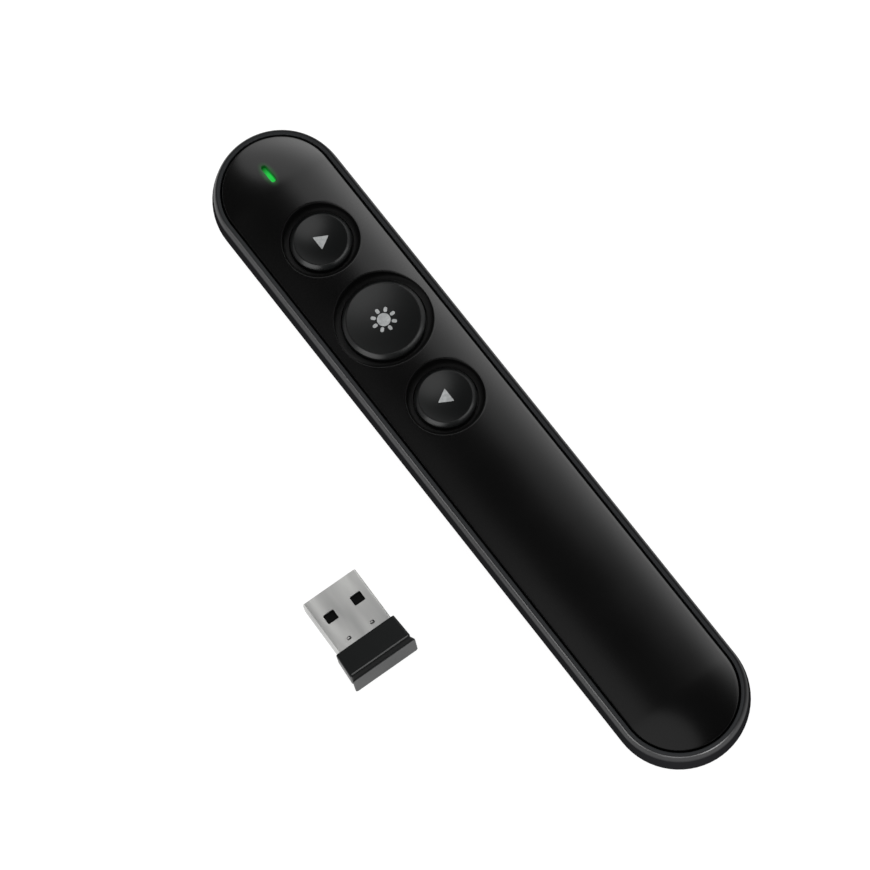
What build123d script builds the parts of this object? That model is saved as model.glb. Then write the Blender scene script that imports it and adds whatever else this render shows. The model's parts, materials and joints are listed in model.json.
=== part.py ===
from build123d import *
import os
from math import atan, cos, degrees, pi, radians, sin, sqrt

# Wireless presentation clicker with its USB receiver lying beside it, in millimetres.
# +Z is up, +Y points to the indicator light and the laser window, +X is the right-hand side.
# The origin is on the flat underside of the case, midway between its two round ends.

# ---------------------------------------------------------------- case
body_length = 150.4
side_room = 0.85
side_tuck = 5.3
parting_height = 5.0
widest_height = 8.6
lip_rise = 0.9
crown_rise = 2.2
lip_inset = 1.3
lip_width = 0.55
groove_width = 0.4
wall = 1.8
floor = 1.5
deck = 1.0
seam_gap = 0.1
lap_height = 0.8
lap_width = 0.8
lap_gap = 0.1

# ---------------------------------------------------------------- faceplate
plate_thickness = 1.2
plate_chamfer = 0.25
glue_gap = 0.05
collar_wall = 0.8
collar_depth = 2.9
collar_gap = 0.2
ring_depth = 1.9
ring_fillet = 0.6
slot_from_front = 9.9
slot_length = 4.1
slot_width = 1.0
slot_recess = 1.1

# ---------------------------------------------------------------- buttons
next_from_front = 26.7
next_to_laser = 19.9
laser_to_previous = 19.4
small_cap_radius = 5.9
large_cap_radius = 7.9
small_ring_radius = 7.4
large_ring_radius = 9.4
cap_gap = 0.2
cap_foot_depth = 1.05
cap_band_width = 1.05
cap_band_rise = 0.9
cap_dish_depth = 0.75
cap_rim_flat = 0.12
cap_roof = 1.2
cap_skirt = 1.0
flange_width = 0.9
flange_thickness = 0.7
flange_gap = 0.1
post_radius = 1.6
button_travel = 0.5

# ---------------------------------------------------------------- board and what stands on it
board_bottom = 5.6
board_thickness = 1.0
board_side_gap = 1.4
board_rear_gap = 1.8
board_corner = 2.0
switch_size = 6.2
switch_height = 3.5
switch_foot = 0.8
plunger_radius = 1.75
plunger_length = 1.7
plunger_rise = 0.8
plunger_gap = 0.05
plunger_stroke_gap = 0.2
chip_size = 5.0
chip_height = 0.9
crystal_size = (3.2, 2.5, 0.8)
crystal_x = 5.8
capacitor_size = (1.0, 0.5, 0.5)
capacitor_pitch = 1.6
capacitor_count = 4
antenna_size = (6.0, 2.0, 1.1)
led_size = (1.6, 0.8, 0.7)
guide_gap = 0.05
guide_clearance = 0.2
guide_inset = 0.8
guide_arm_width = 2.0
guide_arm_thickness = 0.8
guide_leg = 1.6

# ---------------------------------------------------------------- laser
laser_rise = 2.0
laser_radius = 3.0
laser_length = 11.4
laser_board_gap = 1.2
laser_window_gap = 0.1
laser_aperture = 1.0
lens_radius = 1.9
lens_thickness = 1.1
lens_gap = 0.02
laser_pin_radius = 0.25
laser_pin_length = 2.0
window_radius = 2.2
window_flange_radius = 2.7
window_flange = 0.8
window_recess = 0.5
window_gap = 0.03
cradle_width = 8.4
cradle_thickness = 1.5
cradle_inset = 2.0
cradle_gap = 0.02

# ---------------------------------------------------------------- power switch
power_size = (3.6, 8.6, 2.4)
power_travel = 2.0
knob_size = (2.8, 4.0)
knob_recess = 0.35
knob_gap = 0.25
power_plate = (5.0, 10.0, 0.6)
power_plate_gap = 0.1
power_pin = (1.2, 1.5)
power_pin_gap = 0.2
grip_count = 3
grip_width = 0.4
grip_depth = 0.25

# ---------------------------------------------------------------- screws
screw_x = 6.0
screw_rear_gap = 5.3
head_radius = 1.8
head_height = 1.2
shank_radius = 1.0
shank_length = 8.0
screw_seat = 1.8
screw_gap = 0.2
thread_gap = 0.02
lower_boss_radius = 3.0
upper_boss_radius = 2.0
boss_rib = 1.0
drive_width = 0.5
drive_length = 2.2
drive_depth = 0.7

# ---------------------------------------------------------------- cells and contacts
cell_radius = 5.25
cell_length = 44.5
nub_radius = 1.9
nub_height = 0.8
cell_side_gap = 0.3
cell_floor_gap = 0.4
spring_length = 4.0
spring_turns = 3.5
spring_steps = 16
spring_wire_radius = 0.3
spring_base_radius = 3.2
spring_tip_radius = 2.2
contact_thickness = 0.3
contact_size = (8.0, 7.0)
bulkhead = 1.2
bulkhead_bottom = 2.6
rear_room = 11.6

# ---------------------------------------------------------------- battery door
door_lead = 1.3
door_gap = 0.2
door_travel = 8.0
tongue_width = 3.0
tongue_length = 2.2
tongue_thickness = 0.7
tongue_root = 3.0
tongue_lift = 0.1
hook_pitch = 20.0
hook_setback = 12.0
hook_count = 2
hook_length = 3.0
hook_inset = 0.13
hook_thickness = 0.6
hook_reach = 0.5
hook_rise = 1.4
hook_foot = 0.7
hook_gap = 0.2

# ---------------------------------------------------------------- receiver
receiver_distance = 25.2
receiver_setback = 16.25
receiver_yaw = -1.6
plug_width = 12.0
plug_height = 4.5
plug_length = 11.9
plug_wall = 0.3
plug_corner = 0.5
plug_buried = 5.0
window_size = (2.35, 1.95)
window_x = 3.05
window_back = 5.1
tab_size = (0.9, 0.55)
tab_x = 2.65
tab_back = 10.55
tongue_gap = 0.05
tongue_height = 1.85
tongue_tip_gap = 0.5
pad_size = (1.0, 7.0, 0.15)
pad_pitch = 2.4
pad_count = 4
pad_tip_gap = 1.2
cap_front_margin = (1.2, 0.8)
cap_step_margin = (1.7, 1.1)
cap_rear_margin = (2.1, 2.1)
cap_step = 5.1
cap_slope = 1.1
cap_length = 6.5
cap_corner = 0.5
stick_board = (10.8, 3.9, 0.8)
stick_chip = (4.0, 3.0, 0.75)

# ---------------------------------------------------------------- worked out from the sizes above
cell_x = cell_radius + cell_side_gap / 2
cell_z = floor + cell_floor_gap + cell_radius
half_width = cell_x + cell_radius + side_room + wall
half_base = half_width - side_tuck
lip_height = cell_z + cell_radius + lip_rise
crown_height = lip_height + crown_rise
front_end = body_length / 2
spine = front_end - half_width
lip_inner = half_width - lip_inset - lip_width
plate_half = lip_inner - groove_width
low_radius = (side_tuck ** 2 + widest_height ** 2) / (2 * side_tuck)
top_drop = lip_height - widest_height
top_radius = (lip_inset ** 2 + top_drop ** 2) / (2 * lip_inset)
dome_radius = (plate_half ** 2 + crown_rise ** 2) / (2 * crown_rise)
seat_drop = plate_thickness + glue_gap
ceiling_drop = seat_drop + deck
collar_bottom = crown_height - collar_depth
ring_floor = crown_height - ring_depth
cap_foot_height = crown_height - cap_foot_depth
board_top = board_bottom + board_thickness
plunger_top = board_top + switch_height + plunger_rise
flange_top = collar_bottom - flange_gap
slot_y = front_end - slot_from_front
next_y = front_end - next_from_front
laser_y = next_y - next_to_laser
previous_y = laser_y - laser_to_previous
power_y = (laser_y + previous_y) / 2
rear_contact_y = rear_room - front_end
front_contact_y = rear_contact_y + contact_thickness * 2 + cell_length + spring_length
bulkhead_y = front_contact_y + bulkhead
board_rear = bulkhead_y + board_rear_gap
door_front = bulkhead_y + door_lead
screw_rear_y = bulkhead_y + screw_rear_gap
screw_middle_y = (next_y + laser_y) / 2
laser_z = board_top + laser_rise
cap_front_size = (plug_width + cap_front_margin[0], plug_height + cap_front_margin[1])
cap_step_size = (plug_width + cap_step_margin[0], plug_height + cap_step_margin[1])
cap_rear_size = (plug_width + cap_rear_margin[0], plug_height + cap_rear_margin[1])
buttons = {
    "next": (next_y, small_cap_radius, small_ring_radius),
    "laser": (laser_y, large_cap_radius, large_ring_radius),
    "previous": (previous_y, small_cap_radius, small_ring_radius),
}
screw_places = [(x, y) for x in (-screw_x, screw_x) for y in (screw_rear_y, screw_middle_y)]


# ---------------------------------------------------------------- shared shapes
def block(x, y, z):
    """Box between two values along each axis."""
    middle = [(low + high) / 2 for low, high in (x, y, z)]
    return Pos(*middle) * Box(x[1] - x[0], y[1] - y[0], z[1] - z[0])


def rod(radius, low, high, x=0.0, y=0.0):
    """Upright cylinder between two heights."""
    return Pos(x, y, (low + high) / 2) * Cylinder(radius, high - low)


def bar(radius, rear, front, z, x=0.0):
    """Cylinder along Y between two places."""
    return Pos(x, (rear + front) / 2, z) * Rot(90, 0, 0) * Cylinder(radius, front - rear)


def side_x(z, inset=0.0):
    """Half-width of the case at a height, moved inwards square to its surface."""
    radius = low_radius if z < widest_height else top_radius
    return half_width - radius + sqrt((radius - inset) ** 2 - (z - widest_height) ** 2)


def side_section(low, high, inset=0.0):
    """Half section of the case between two heights, out to its two side arcs."""
    knots = [low, widest_height, high] if low < widest_height < high else [low, high]
    edges = [Line((0, low), (side_x(low, inset), low))]
    for start, end in zip(knots, knots[1:]):
        ends = [(side_x(z, inset), z) for z in (start, (start + end) / 2, end)]
        edges.append(ThreePointArc(*ends))
    edges += [Line((side_x(high, inset), high), (0, high)), Line((0, high), (0, low))]
    return make_face(edges)


def dome_z(x, drop=0.0):
    """Height of the crowned top at a distance from the middle line, lowered square to itself."""
    return crown_height - dome_radius + sqrt((dome_radius - drop) ** 2 - x ** 2)


def dome_section(half, base, drop=0.0):
    """Half section from a base height up to the crowned top."""
    arc = [(x, dome_z(x, drop)) for x in (half, half / 2, 0)]
    edges = [Line((0, base), (half, base)), Line((half, base), arc[0])]
    edges += [ThreePointArc(*arc), Line(arc[2], (0, base))]
    return make_face(edges)


def band(x, z):
    """Rectangle of a half section."""
    return Pos((x[0] + x[1]) / 2, (z[0] + z[1]) / 2) * Rectangle(x[1] - x[0], z[1] - z[0])


def pill(section):
    """Carries a half section round the long plan outline: two half turns and the straight run."""
    half = Plane.XZ * section
    turn = revolve(half, Axis.Z, 180)
    run = extrude(half, amount=spine, both=True)
    front = Pos(0, spine, 0) * turn
    rear = Pos(0, -spine, 0) * Rot(0, 0, 180) * turn
    return run + mirror(run, Plane.YZ) + front + rear


def stadium(length, width, low, high, y=0.0):
    """Upright plate with round ends, long along Y."""
    slot = SlotOverall(length, width, rotation=90)
    return Pos(0, y, low) * extrude(slot, high - low)


def window_seat():
    """Where the laser window's flange meets the inside of the front wall, along Y."""
    behind = side_x(laser_z + window_flange_radius, wall)
    return spine + sqrt(behind ** 2 - window_flange_radius ** 2)


laser_front = window_seat() - glue_gap - window_flange - laser_window_gap
laser_rear = laser_front - laser_length
board_front = laser_rear - laser_board_gap
board_width = 2 * (side_x(board_bottom, wall) - board_side_gap)
guide_bottom = board_top + led_size[2] + guide_gap
guide_rear = board_front - guide_leg - guide_inset
hook_leg_in = side_x(parting_height, wall) + hook_inset
hook_leg_out = hook_leg_in + hook_thickness


# ---------------------------------------------------------------- case pieces
def upper_case():
    """Side band with the lip round the faceplate, and the deck that carries the faceplate."""
    seat = dome_z(lip_inner, seat_drop)
    section = side_section(parting_height, lip_height)
    section -= band((0, lip_inner), (seat, crown_height))
    section += dome_section(lip_inner, parting_height, seat_drop)
    below = parting_height - floor
    ceiling = dome_section(half_width, below, ceiling_drop)
    cavity = side_section(below, lip_height, wall) & ceiling
    shell = pill(section - cavity)
    inside = pill(cavity + side_section(floor, parting_height, wall))

    reach = (-half_width, half_width)
    walls = block(reach, (bulkhead_y - bulkhead, bulkhead_y), (bulkhead_bottom, crown_height))
    walls += block(reach, (rear_contact_y - bulkhead, rear_contact_y), (bulkhead_bottom, crown_height))
    for x, y in screw_places:
        walls += rod(upper_boss_radius, board_top, crown_height, x, y)
    for x in (-screw_x, screw_x):
        walls += block((x - boss_rib / 2, x + boss_rib / 2), (bulkhead_y, screw_rear_y),
                       (board_top, crown_height))
    for y in cradle_places():
        walls += block(
            (-cradle_width / 2, cradle_width / 2),
            (y, y + cradle_thickness),
            (laser_z + cradle_gap, crown_height),
        )
    shell += walls & inside

    for y, _, ring in buttons.values():
        hole = ring + collar_wall + collar_gap
        shell -= rod(hole, flange_top - flange_thickness - button_travel - flange_gap,
                     crown_height + deck, 0, y)
    clear = guide_clearance
    shell -= stadium(
        slot_length + 2 * clear, slot_width + 2 * clear, laser_z, crown_height, slot_y
    )
    arm = guide_arm_width / 2 + clear
    shell -= block((-arm, arm), (guide_rear - clear, slot_y + slot_length / 2 + clear),
                   (guide_arm_bottom() - clear, guide_arm_top() + clear))
    for x, y in screw_places:
        shell -= rod(shank_radius + thread_gap, parting_height,
                     screw_seat + shank_length + screw_gap, x, y)
    shell -= bar(laser_radius + window_gap, laser_rear, laser_front, laser_z)
    shell -= bar(window_radius + window_gap, spine, front_end + wall, laser_z)
    shell -= bar(window_flange_radius + window_gap, laser_front, window_seat(), laser_z)
    shell -= lap_groove() + hook_grooves()
    return shell


def cradle_places():
    """Rear faces of the two ribs that hold the laser."""
    return (laser_rear + cradle_inset, laser_front - cradle_inset - cradle_thickness)


def guide_arm_bottom():
    """The light guide's arm runs just over the laser."""
    return laser_z + laser_radius + guide_clearance


def guide_arm_top():
    """Top of the light guide's arm."""
    return guide_arm_bottom() + guide_arm_thickness


def front_of(solid, y):
    """The part of a solid ahead of a place along Y."""
    across = (-2 * half_width, 2 * half_width)
    return solid & block(across, (y, body_length), (-floor, 2 * crown_height))


def rear_of(solid, y):
    """The part of a solid behind a place along Y."""
    across = (-2 * half_width, 2 * half_width)
    return solid & block(across, (-body_length, y), (-floor, 2 * crown_height))


def lap_section(clearance=0.0):
    """Half section of the lip inside the seam."""
    inner = side_x(parting_height, wall)
    outer = side_x(parting_height, wall - lap_width) + clearance
    top = parting_height + lap_height + clearance
    return band((inner - clearance, outer), (parting_height - floor, top))


def lap_groove():
    """Room for the lower case's lip along the seam."""
    return front_of(pill(lap_section(lap_gap)), door_front - door_gap)


def hook_places():
    """Middle of each hook of the battery door, along Y."""
    return [door_front - hook_setback - hook_pitch * i for i in range(hook_count)]


def hook_grooves():
    """Grooves in which the door's hooks slide, each with a notch where the hook drops out."""
    top = parting_height + hook_rise + hook_gap
    foot = top - hook_foot - 2 * hook_gap
    span = (min(hook_places()) - door_travel - hook_length / 2 - hook_gap,
            max(hook_places()) + hook_length / 2 + hook_gap)
    inner = side_x(parting_height, wall) - lap_gap
    low = parting_height - hook_gap
    grooves = block((inner, hook_leg_out + hook_gap), span, (low, top))
    grooves += block((inner, hook_leg_out + hook_reach + hook_gap), span, (foot, top))
    for y in hook_places():
        middle = y - door_travel
        notch = (middle - hook_length / 2 - hook_gap, middle + hook_length / 2 + hook_gap)
        grooves += block((inner, hook_leg_out + hook_reach + hook_gap), notch, (low, top))
    return grooves + mirror(grooves, Plane.YZ)


def bottom_shell():
    """Whole underside, before it is parted into the lower case and the door."""
    top = parting_height - seam_gap
    return pill(side_section(0, top) - side_section(floor, top, wall))


def lower_case():
    """Front part of the underside, with the screw pillars and the laser's cradle."""
    shell = bottom_shell() + pill(lap_section() - side_section(floor, parting_height - seam_gap, wall))
    bulk = pill(side_section(0, parting_height - seam_gap))
    for x, y in screw_places:
        shell += rod(lower_boss_radius, 0, parting_height - seam_gap, x, y) & bulk
        shell += rod(upper_boss_radius, floor, board_bottom, x, y)
    for y in cradle_places():
        shell += block(
            (-cradle_width / 2, cradle_width / 2), (y, y + cradle_thickness), (floor, laser_z)
        )
    shell -= bar(laser_radius + window_gap, laser_rear, laser_front, laser_z)
    for x, y in screw_places:
        shell -= rod(head_radius + screw_gap, -floor, screw_seat, x, y)
        shell -= rod(shank_radius + screw_gap, 0, board_bottom + floor, x, y)
    knob_x, knob_y = knob_size
    shell -= block(
        (-knob_x / 2 - knob_gap, knob_x / 2 + knob_gap),
        (power_y - (knob_y + power_travel) / 2 - knob_gap,
         power_y + (knob_y + power_travel) / 2 + knob_gap),
        (-floor, 2 * floor),
    )
    return front_of(shell, door_front)


def battery_door():
    """Rear part of the underside, which slides back until its hooks drop out."""
    door = rear_of(bottom_shell(), door_front - door_gap)
    top = floor + tongue_thickness
    front = door_front + tongue_length
    door += block((-tongue_width / 2, tongue_width / 2),
                  (door_front - tongue_root, front), (floor + tongue_lift, top))
    door += block((-tongue_width / 2, tongue_width / 2),
                  (door_front - tongue_root, door_front - door_gap), (floor / 2, top))
    for side in (1, -1):
        for y in hook_places():
            run = (y - hook_length / 2, y + hook_length / 2)
            high = parting_height + hook_rise
            leg = block((hook_leg_in, hook_leg_out), run, (parting_height - floor, high))
            foot = block((hook_leg_in, hook_leg_out + hook_reach), run, (high - hook_foot, high))
            hook = leg + foot
            door += hook if side == 1 else mirror(hook, Plane.YZ)
    return door


def ring_recess(y, cap, ring):
    """Dished ring round a button, with a round foot where its wall meets its floor."""
    top = crown_height + deck
    foot = ring - ring_fillet
    lift = ring_floor + ring_fillet
    bend = (ring - ring_fillet * (1 - cos(radians(45))), lift - ring_fillet * sin(radians(45)))
    edges = [
        Line((0, ring_floor), (foot, ring_floor)),
        ThreePointArc((foot, ring_floor), bend, (ring, lift)),
        Line((ring, lift), (ring, top)),
        Line((ring, top), (0, top)),
        Line((0, top), (0, ring_floor)),
    ]
    dish = revolve(Plane.XZ * make_face(edges), Axis.Z)
    return Pos(0, y, 0) * dish + rod(cap + cap_gap, 0, top, 0, y)


def faceplate():
    """Crowned cover plate with a dished ring round each button and a slot for the light."""
    edge = dome_z(plate_half) - plate_chamfer
    bevel = make_face(Polyline(
        (plate_half - plate_chamfer, dome_z(plate_half - plate_chamfer)),
        (plate_half - plate_chamfer, crown_height), (half_width, crown_height), (half_width, edge),
        (plate_half, edge), close=True))
    low = lip_height / 2
    section = dome_section(plate_half, low) - dome_section(half_width, low / 2, plate_thickness)
    plate = pill(section - bevel)
    under = pill(dome_section(plate_half, low, plate_thickness / 2))
    for y, cap, ring in buttons.values():
        plate += rod(ring + collar_wall, collar_bottom, crown_height, 0, y) & under
    for button in buttons.values():
        plate -= ring_recess(*button)
    return plate - stadium(slot_length, slot_width, low, crown_height + deck, slot_y)


# ---------------------------------------------------------------- buttons and switches
def button_cap(y, cap):
    """Round key with a bevelled band, a dished top, a skirt, a flange and a middle post."""
    rim = cap_foot_height + cap_band_rise
    rim_out = cap - cap_band_width
    rim_in = rim_out - cap_rim_flat
    dish = rim - cap_dish_depth
    dish_radius = (rim_in ** 2 + cap_dish_depth ** 2) / (2 * cap_dish_depth)
    half = rim_in / 2
    half_z = dish + dish_radius - sqrt(dish_radius ** 2 - half ** 2)
    roof = dish - cap_roof
    skirt_in = cap - cap_skirt
    flange_low = flange_top - flange_thickness
    flange_out = cap + flange_width
    points = [
        (rim_in, rim), (rim_out, rim), (cap, cap_foot_height), (cap, flange_top),
        (flange_out, flange_top), (flange_out, flange_low), (skirt_in, flange_low),
        (skirt_in, roof), (post_radius, roof), (post_radius, plunger_top), (0, plunger_top),
    ]
    edges = [Line(a, b) for a, b in zip(points, points[1:])]
    edges += [Line((0, plunger_top), (0, dish)), ThreePointArc((0, dish), (half, half_z), (rim_in, rim))]
    return Pos(0, y, 0) * revolve(Plane.XZ * make_face(edges), Axis.Z)


def switch_body(y):
    """Push switch on the board, with a bore for its plunger and a foot at each corner."""
    half = switch_size / 2
    top = board_top + switch_height
    body = block((-half, half), (y - half, y + half), (board_top, top))
    for side in (-1, 1):
        for end in (-1, 1):
            x = sorted((side * half, side * (half + switch_foot)))
            place = y + end * (half - switch_foot)
            body += block(x, (place - switch_foot / 2, place + switch_foot / 2),
                          (board_top, board_top + switch_foot / 2))
    depth = plunger_length - plunger_rise + button_travel + plunger_stroke_gap
    return body - rod(plunger_radius + plunger_gap, top - depth, top + plunger_rise, 0, y)


def plunger(y):
    """Stem of a push switch, under the post of its button."""
    return rod(plunger_radius, plunger_top - plunger_length, plunger_top, 0, y)


# ---------------------------------------------------------------- board
def main_board():
    """Circuit board, clamped at its screw holes between the two halves of the case."""
    length = board_front - board_rear
    outline = RectangleRounded(board_width, length, board_corner)
    board = Pos(0, (board_front + board_rear) / 2, board_bottom) * extrude(outline, board_thickness)
    for x, y in screw_places:
        board -= rod(shank_radius + screw_gap, 0, crown_height, x, y)
    return board


def on_board(size, x, y):
    """Small part standing on the board."""
    return block(
        (x - size[0] / 2, x + size[0] / 2),
        (y - size[1] / 2, y + size[1] / 2),
        (board_top, board_top + size[2]),
    )


def capacitors():
    """Row of small capacitors beside the radio chip."""
    y = power_y - capacitor_pitch * (capacitor_count - 1) / 2
    return [on_board(capacitor_size, -crystal_x, y + capacitor_pitch * i) for i in range(capacitor_count)]


def light_guide():
    """Clear guide from the light on the board, over the laser, up into the faceplate's slot."""
    end = slot_y + slot_length / 2 - guide_gap
    leg = (-guide_arm_width / 2, guide_arm_width / 2)
    guide = block(leg, (guide_rear, end), (guide_arm_bottom(), guide_arm_top()))
    guide += block(leg, (guide_rear, guide_rear + guide_leg), (guide_bottom, guide_arm_top()))
    top = dome_z(slot_y + slot_length / 2 - spine) - slot_recess
    return guide + stadium(
        slot_length - 2 * guide_gap, slot_width - 2 * guide_gap, guide_arm_bottom(), top, slot_y
    )


# ---------------------------------------------------------------- laser
def laser_barrel():
    """Brass barrel with a stepped bore and two solder pins."""
    barrel = bar(laser_radius, laser_rear, laser_front, laser_z)
    barrel -= bar(lens_radius + lens_gap, laser_front - 2 * lens_thickness, laser_front + wall, laser_z)
    barrel -= bar(laser_aperture, laser_front - laser_length / 2, laser_front, laser_z)
    pin_z = board_top + 2 * laser_pin_radius
    for x in (-laser_aperture, laser_aperture):
        barrel += bar(laser_pin_radius, laser_rear - laser_pin_length, laser_rear + laser_aperture, pin_z, x)
    return barrel


def laser_lens():
    """Collimating lens, flat behind and domed ahead."""
    rear = laser_front - 2 * lens_thickness
    edge = lens_thickness / 2
    radius = (lens_radius ** 2 + edge ** 2) / (2 * edge)
    ball = Pos(0, rear + lens_thickness - radius, laser_z) * Sphere(radius)
    return bar(lens_radius, rear, rear + lens_thickness, laser_z) & ball


def laser_window():
    """Tinted window in the front wall, with a flange behind the wall."""
    flange_front = window_seat() - glue_gap
    front = front_end - window_recess
    window = bar(window_radius, flange_front - window_flange, front, laser_z)
    return window + bar(window_flange_radius, flange_front - window_flange, flange_front, laser_z)


# ---------------------------------------------------------------- power switch
def power_switch():
    """Slide switch under the board, with a slot for the slider's pin."""
    x, y, z = power_size
    body = block((-x / 2, x / 2), (power_y - y / 2, power_y + y / 2), (board_bottom - z, board_bottom))
    pin_x, pin_y = power_pin
    run = (pin_y + power_travel) / 2 + power_pin_gap
    return body - block(
        (-pin_x / 2 - power_pin_gap, pin_x / 2 + power_pin_gap),
        (power_y - run, power_y + run),
        (board_bottom - z - floor, board_bottom - z / 3),
    )


def power_slider():
    """Ribbed knob of the power switch, at its forward end, which is on."""
    y = power_y + power_travel / 2
    knob_x, knob_y = knob_size
    plate_x, plate_y, plate_z = power_plate
    low = floor + power_plate_gap
    slider = block((-knob_x / 2, knob_x / 2), (y - knob_y / 2, y + knob_y / 2), (knob_recess, low))
    slider += block((-plate_x / 2, plate_x / 2), (y - plate_y / 2, y + plate_y / 2), (low, low + plate_z))
    pin_x, pin_y = power_pin
    slider += block((-pin_x / 2, pin_x / 2), (y - pin_y / 2, y + pin_y / 2),
                    (low, board_bottom - power_size[2] / 3 - power_pin_gap))
    for i in range(grip_count):
        place = y + knob_y * ((i + 1) / (grip_count + 1) - 0.5)
        slider -= block((-knob_x, knob_x), (place - grip_width / 2, place + grip_width / 2),
                        (0, knob_recess + grip_depth))
    return slider


# ---------------------------------------------------------------- screws
def case_screw(x, y):
    """Cross-head screw from the underside, through the board, into the upper case."""
    screw = rod(head_radius, screw_seat - head_height, screw_seat, x, y)
    screw += rod(shank_radius, screw_seat, screw_seat + shank_length, x, y)
    depth = (screw_seat - head_height - floor, screw_seat - head_height + drive_depth)
    for size in ((drive_length, drive_width), (drive_width, drive_length)):
        half = (size[0] / 2, size[1] / 2)
        screw -= block((x - half[0], x + half[0]), (y - half[1], y + half[1]), depth)
    return screw


# ---------------------------------------------------------------- cells and contacts
def cell(x, nub_forward):
    """Size AAA cell with its raised contact."""
    front = front_contact_y - contact_thickness - (0 if nub_forward else spring_length)
    rear = front - cell_length
    if nub_forward:
        can = bar(cell_radius, rear, front - nub_height, cell_z, x)
        return can + bar(nub_radius, front - 2 * nub_height, front, cell_z, x)
    can = bar(cell_radius, rear + nub_height, front, cell_z, x)
    return can + bar(nub_radius, rear, rear + 2 * nub_height, cell_z, x)


def contact_plate(x, y, width):
    """Sprung steel plate against a bulkhead."""
    height = contact_size[1]
    return block((x - width / 2, x + width / 2), (y, y + contact_thickness),
                 (cell_z - height / 2, cell_z + height / 2))


def cell_spring(x, base, forward):
    """Conical coil from its contact plate to the flat end of a cell, in short straight steps."""
    length = spring_length - 2 * spring_wire_radius
    count = round(spring_turns * spring_steps)
    points = []
    for i in range(count + 1):
        share = i / count
        angle = 2 * pi * spring_turns * share
        radius = spring_base_radius + (spring_tip_radius - spring_base_radius) * share
        points.append(Vector(radius * cos(angle), radius * sin(angle), length * share))
    ring = Plane(origin=points[0], z_dir=points[1] - points[0]) * Circle(spring_wire_radius)
    coil = sweep(ring, path=Polyline(*points), transition=Transition.RIGHT)
    turn = Rot(-90, 0, 0) if forward else Rot(90, 0, 0)
    start = base + (spring_wire_radius if forward else -spring_wire_radius)
    return Pos(x, start, cell_z) * turn * coil


# ---------------------------------------------------------------- receiver
def receiver_place(shape):
    """Lays the receiver on the surface: nose down on its plug's tip and the cap's rear edge."""
    reach = plug_length + cap_step + cap_slope
    lift = (cap_rear_size[1] - plug_height) / 2
    pitch = atan(lift / reach)
    rest = cap_rear_size[1] / 2 * cos(pitch) - (cap_step + cap_slope) * sin(pitch)
    turn = Rot(0, 0, receiver_yaw) * Rot(-degrees(pitch), 0, 0)
    return Pos(-half_width - receiver_distance, -receiver_setback, rest) * turn * shape


def plug_section(inset=0.0):
    """Rounded rectangle of the plug, seen along Y."""
    corner = max(plug_corner - inset, plug_corner / 4)
    return RectangleRounded(plug_width - 2 * inset, plug_height - 2 * inset, corner)


def along_y(section, rear, front):
    """Carries a section of width and height along Y."""
    return Pos(0, front, 0) * extrude(Plane.XZ * section, front - rear)


def receiver_shell():
    """Folded steel shell of the plug, with two windows and two pressed slots on each face."""
    shell = along_y(plug_section(), -plug_buried, plug_length)
    shell -= along_y(plug_section(plug_wall), -plug_buried - plug_wall, plug_length + plug_wall)
    through = (-plug_height, plug_height)
    for side in (-1, 1):
        for size, x, back in ((window_size, window_x, window_back), (tab_size, tab_x, tab_back)):
            shell -= block((side * x - size[0] / 2, side * x + size[0] / 2),
                           (plug_length - back - size[1] / 2, plug_length - back + size[1] / 2), through)
    return shell


def tongue_z():
    """Lowest and highest levels of the plug's insulator."""
    high = plug_height / 2 - plug_wall - tongue_gap
    return high - tongue_height, high


def receiver_tongue():
    """Insulator that fills the upper half of the plug."""
    half = plug_width / 2 - plug_wall - tongue_gap - plug_corner / 4
    return block((-half, half), (-plug_buried, plug_length - tongue_tip_gap), tongue_z())


def receiver_contacts():
    """Four gold-plated strips under the insulator."""
    under = tongue_z()[0]
    first = -pad_pitch * (pad_count - 1) / 2
    front = plug_length - pad_tip_gap
    return [
        block((x - pad_size[0] / 2, x + pad_size[0] / 2), (front - pad_size[1], front),
              (under - pad_size[2], under))
        for x in (first + pad_pitch * i for i in range(pad_count))
    ]


def receiver_board():
    """Small circuit board under the insulator, inside the cap."""
    x, y, z = stick_board
    under = tongue_z()[0]
    return block((-x / 2, x / 2), (-plug_buried, y - plug_buried), (under - z, under))


def receiver_chip():
    """Radio chip under the receiver's board."""
    x, y, z = stick_chip
    high = tongue_z()[0] - stick_board[2]
    middle = stick_board[1] / 2 - plug_buried
    return block((-x / 2, x / 2), (middle - y / 2, middle + y / 2), (high - z, high))


def receiver_cap():
    """Moulded cap that widens to the rear, with a raised grip edge and a flat end."""
    stations = ((0, cap_front_size), (-cap_step, cap_step_size),
                (-cap_step - cap_slope, cap_rear_size), (-cap_length, cap_rear_size))
    cap = Part()
    for (front, wide), (rear, wider) in zip(stations, stations[1:]):
        ends = [Pos(0, y, 0) * (Plane.XZ * RectangleRounded(*size, cap_corner))
                for y, size in ((front, wide), (rear, wider))]
        cap += loft(ends, ruled=True)
    pocket = RectangleRounded(plug_width + 2 * tongue_gap, plug_height + 2 * tongue_gap, plug_corner)
    return cap - along_y(pocket, -plug_buried - tongue_gap, cap_length)


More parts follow.
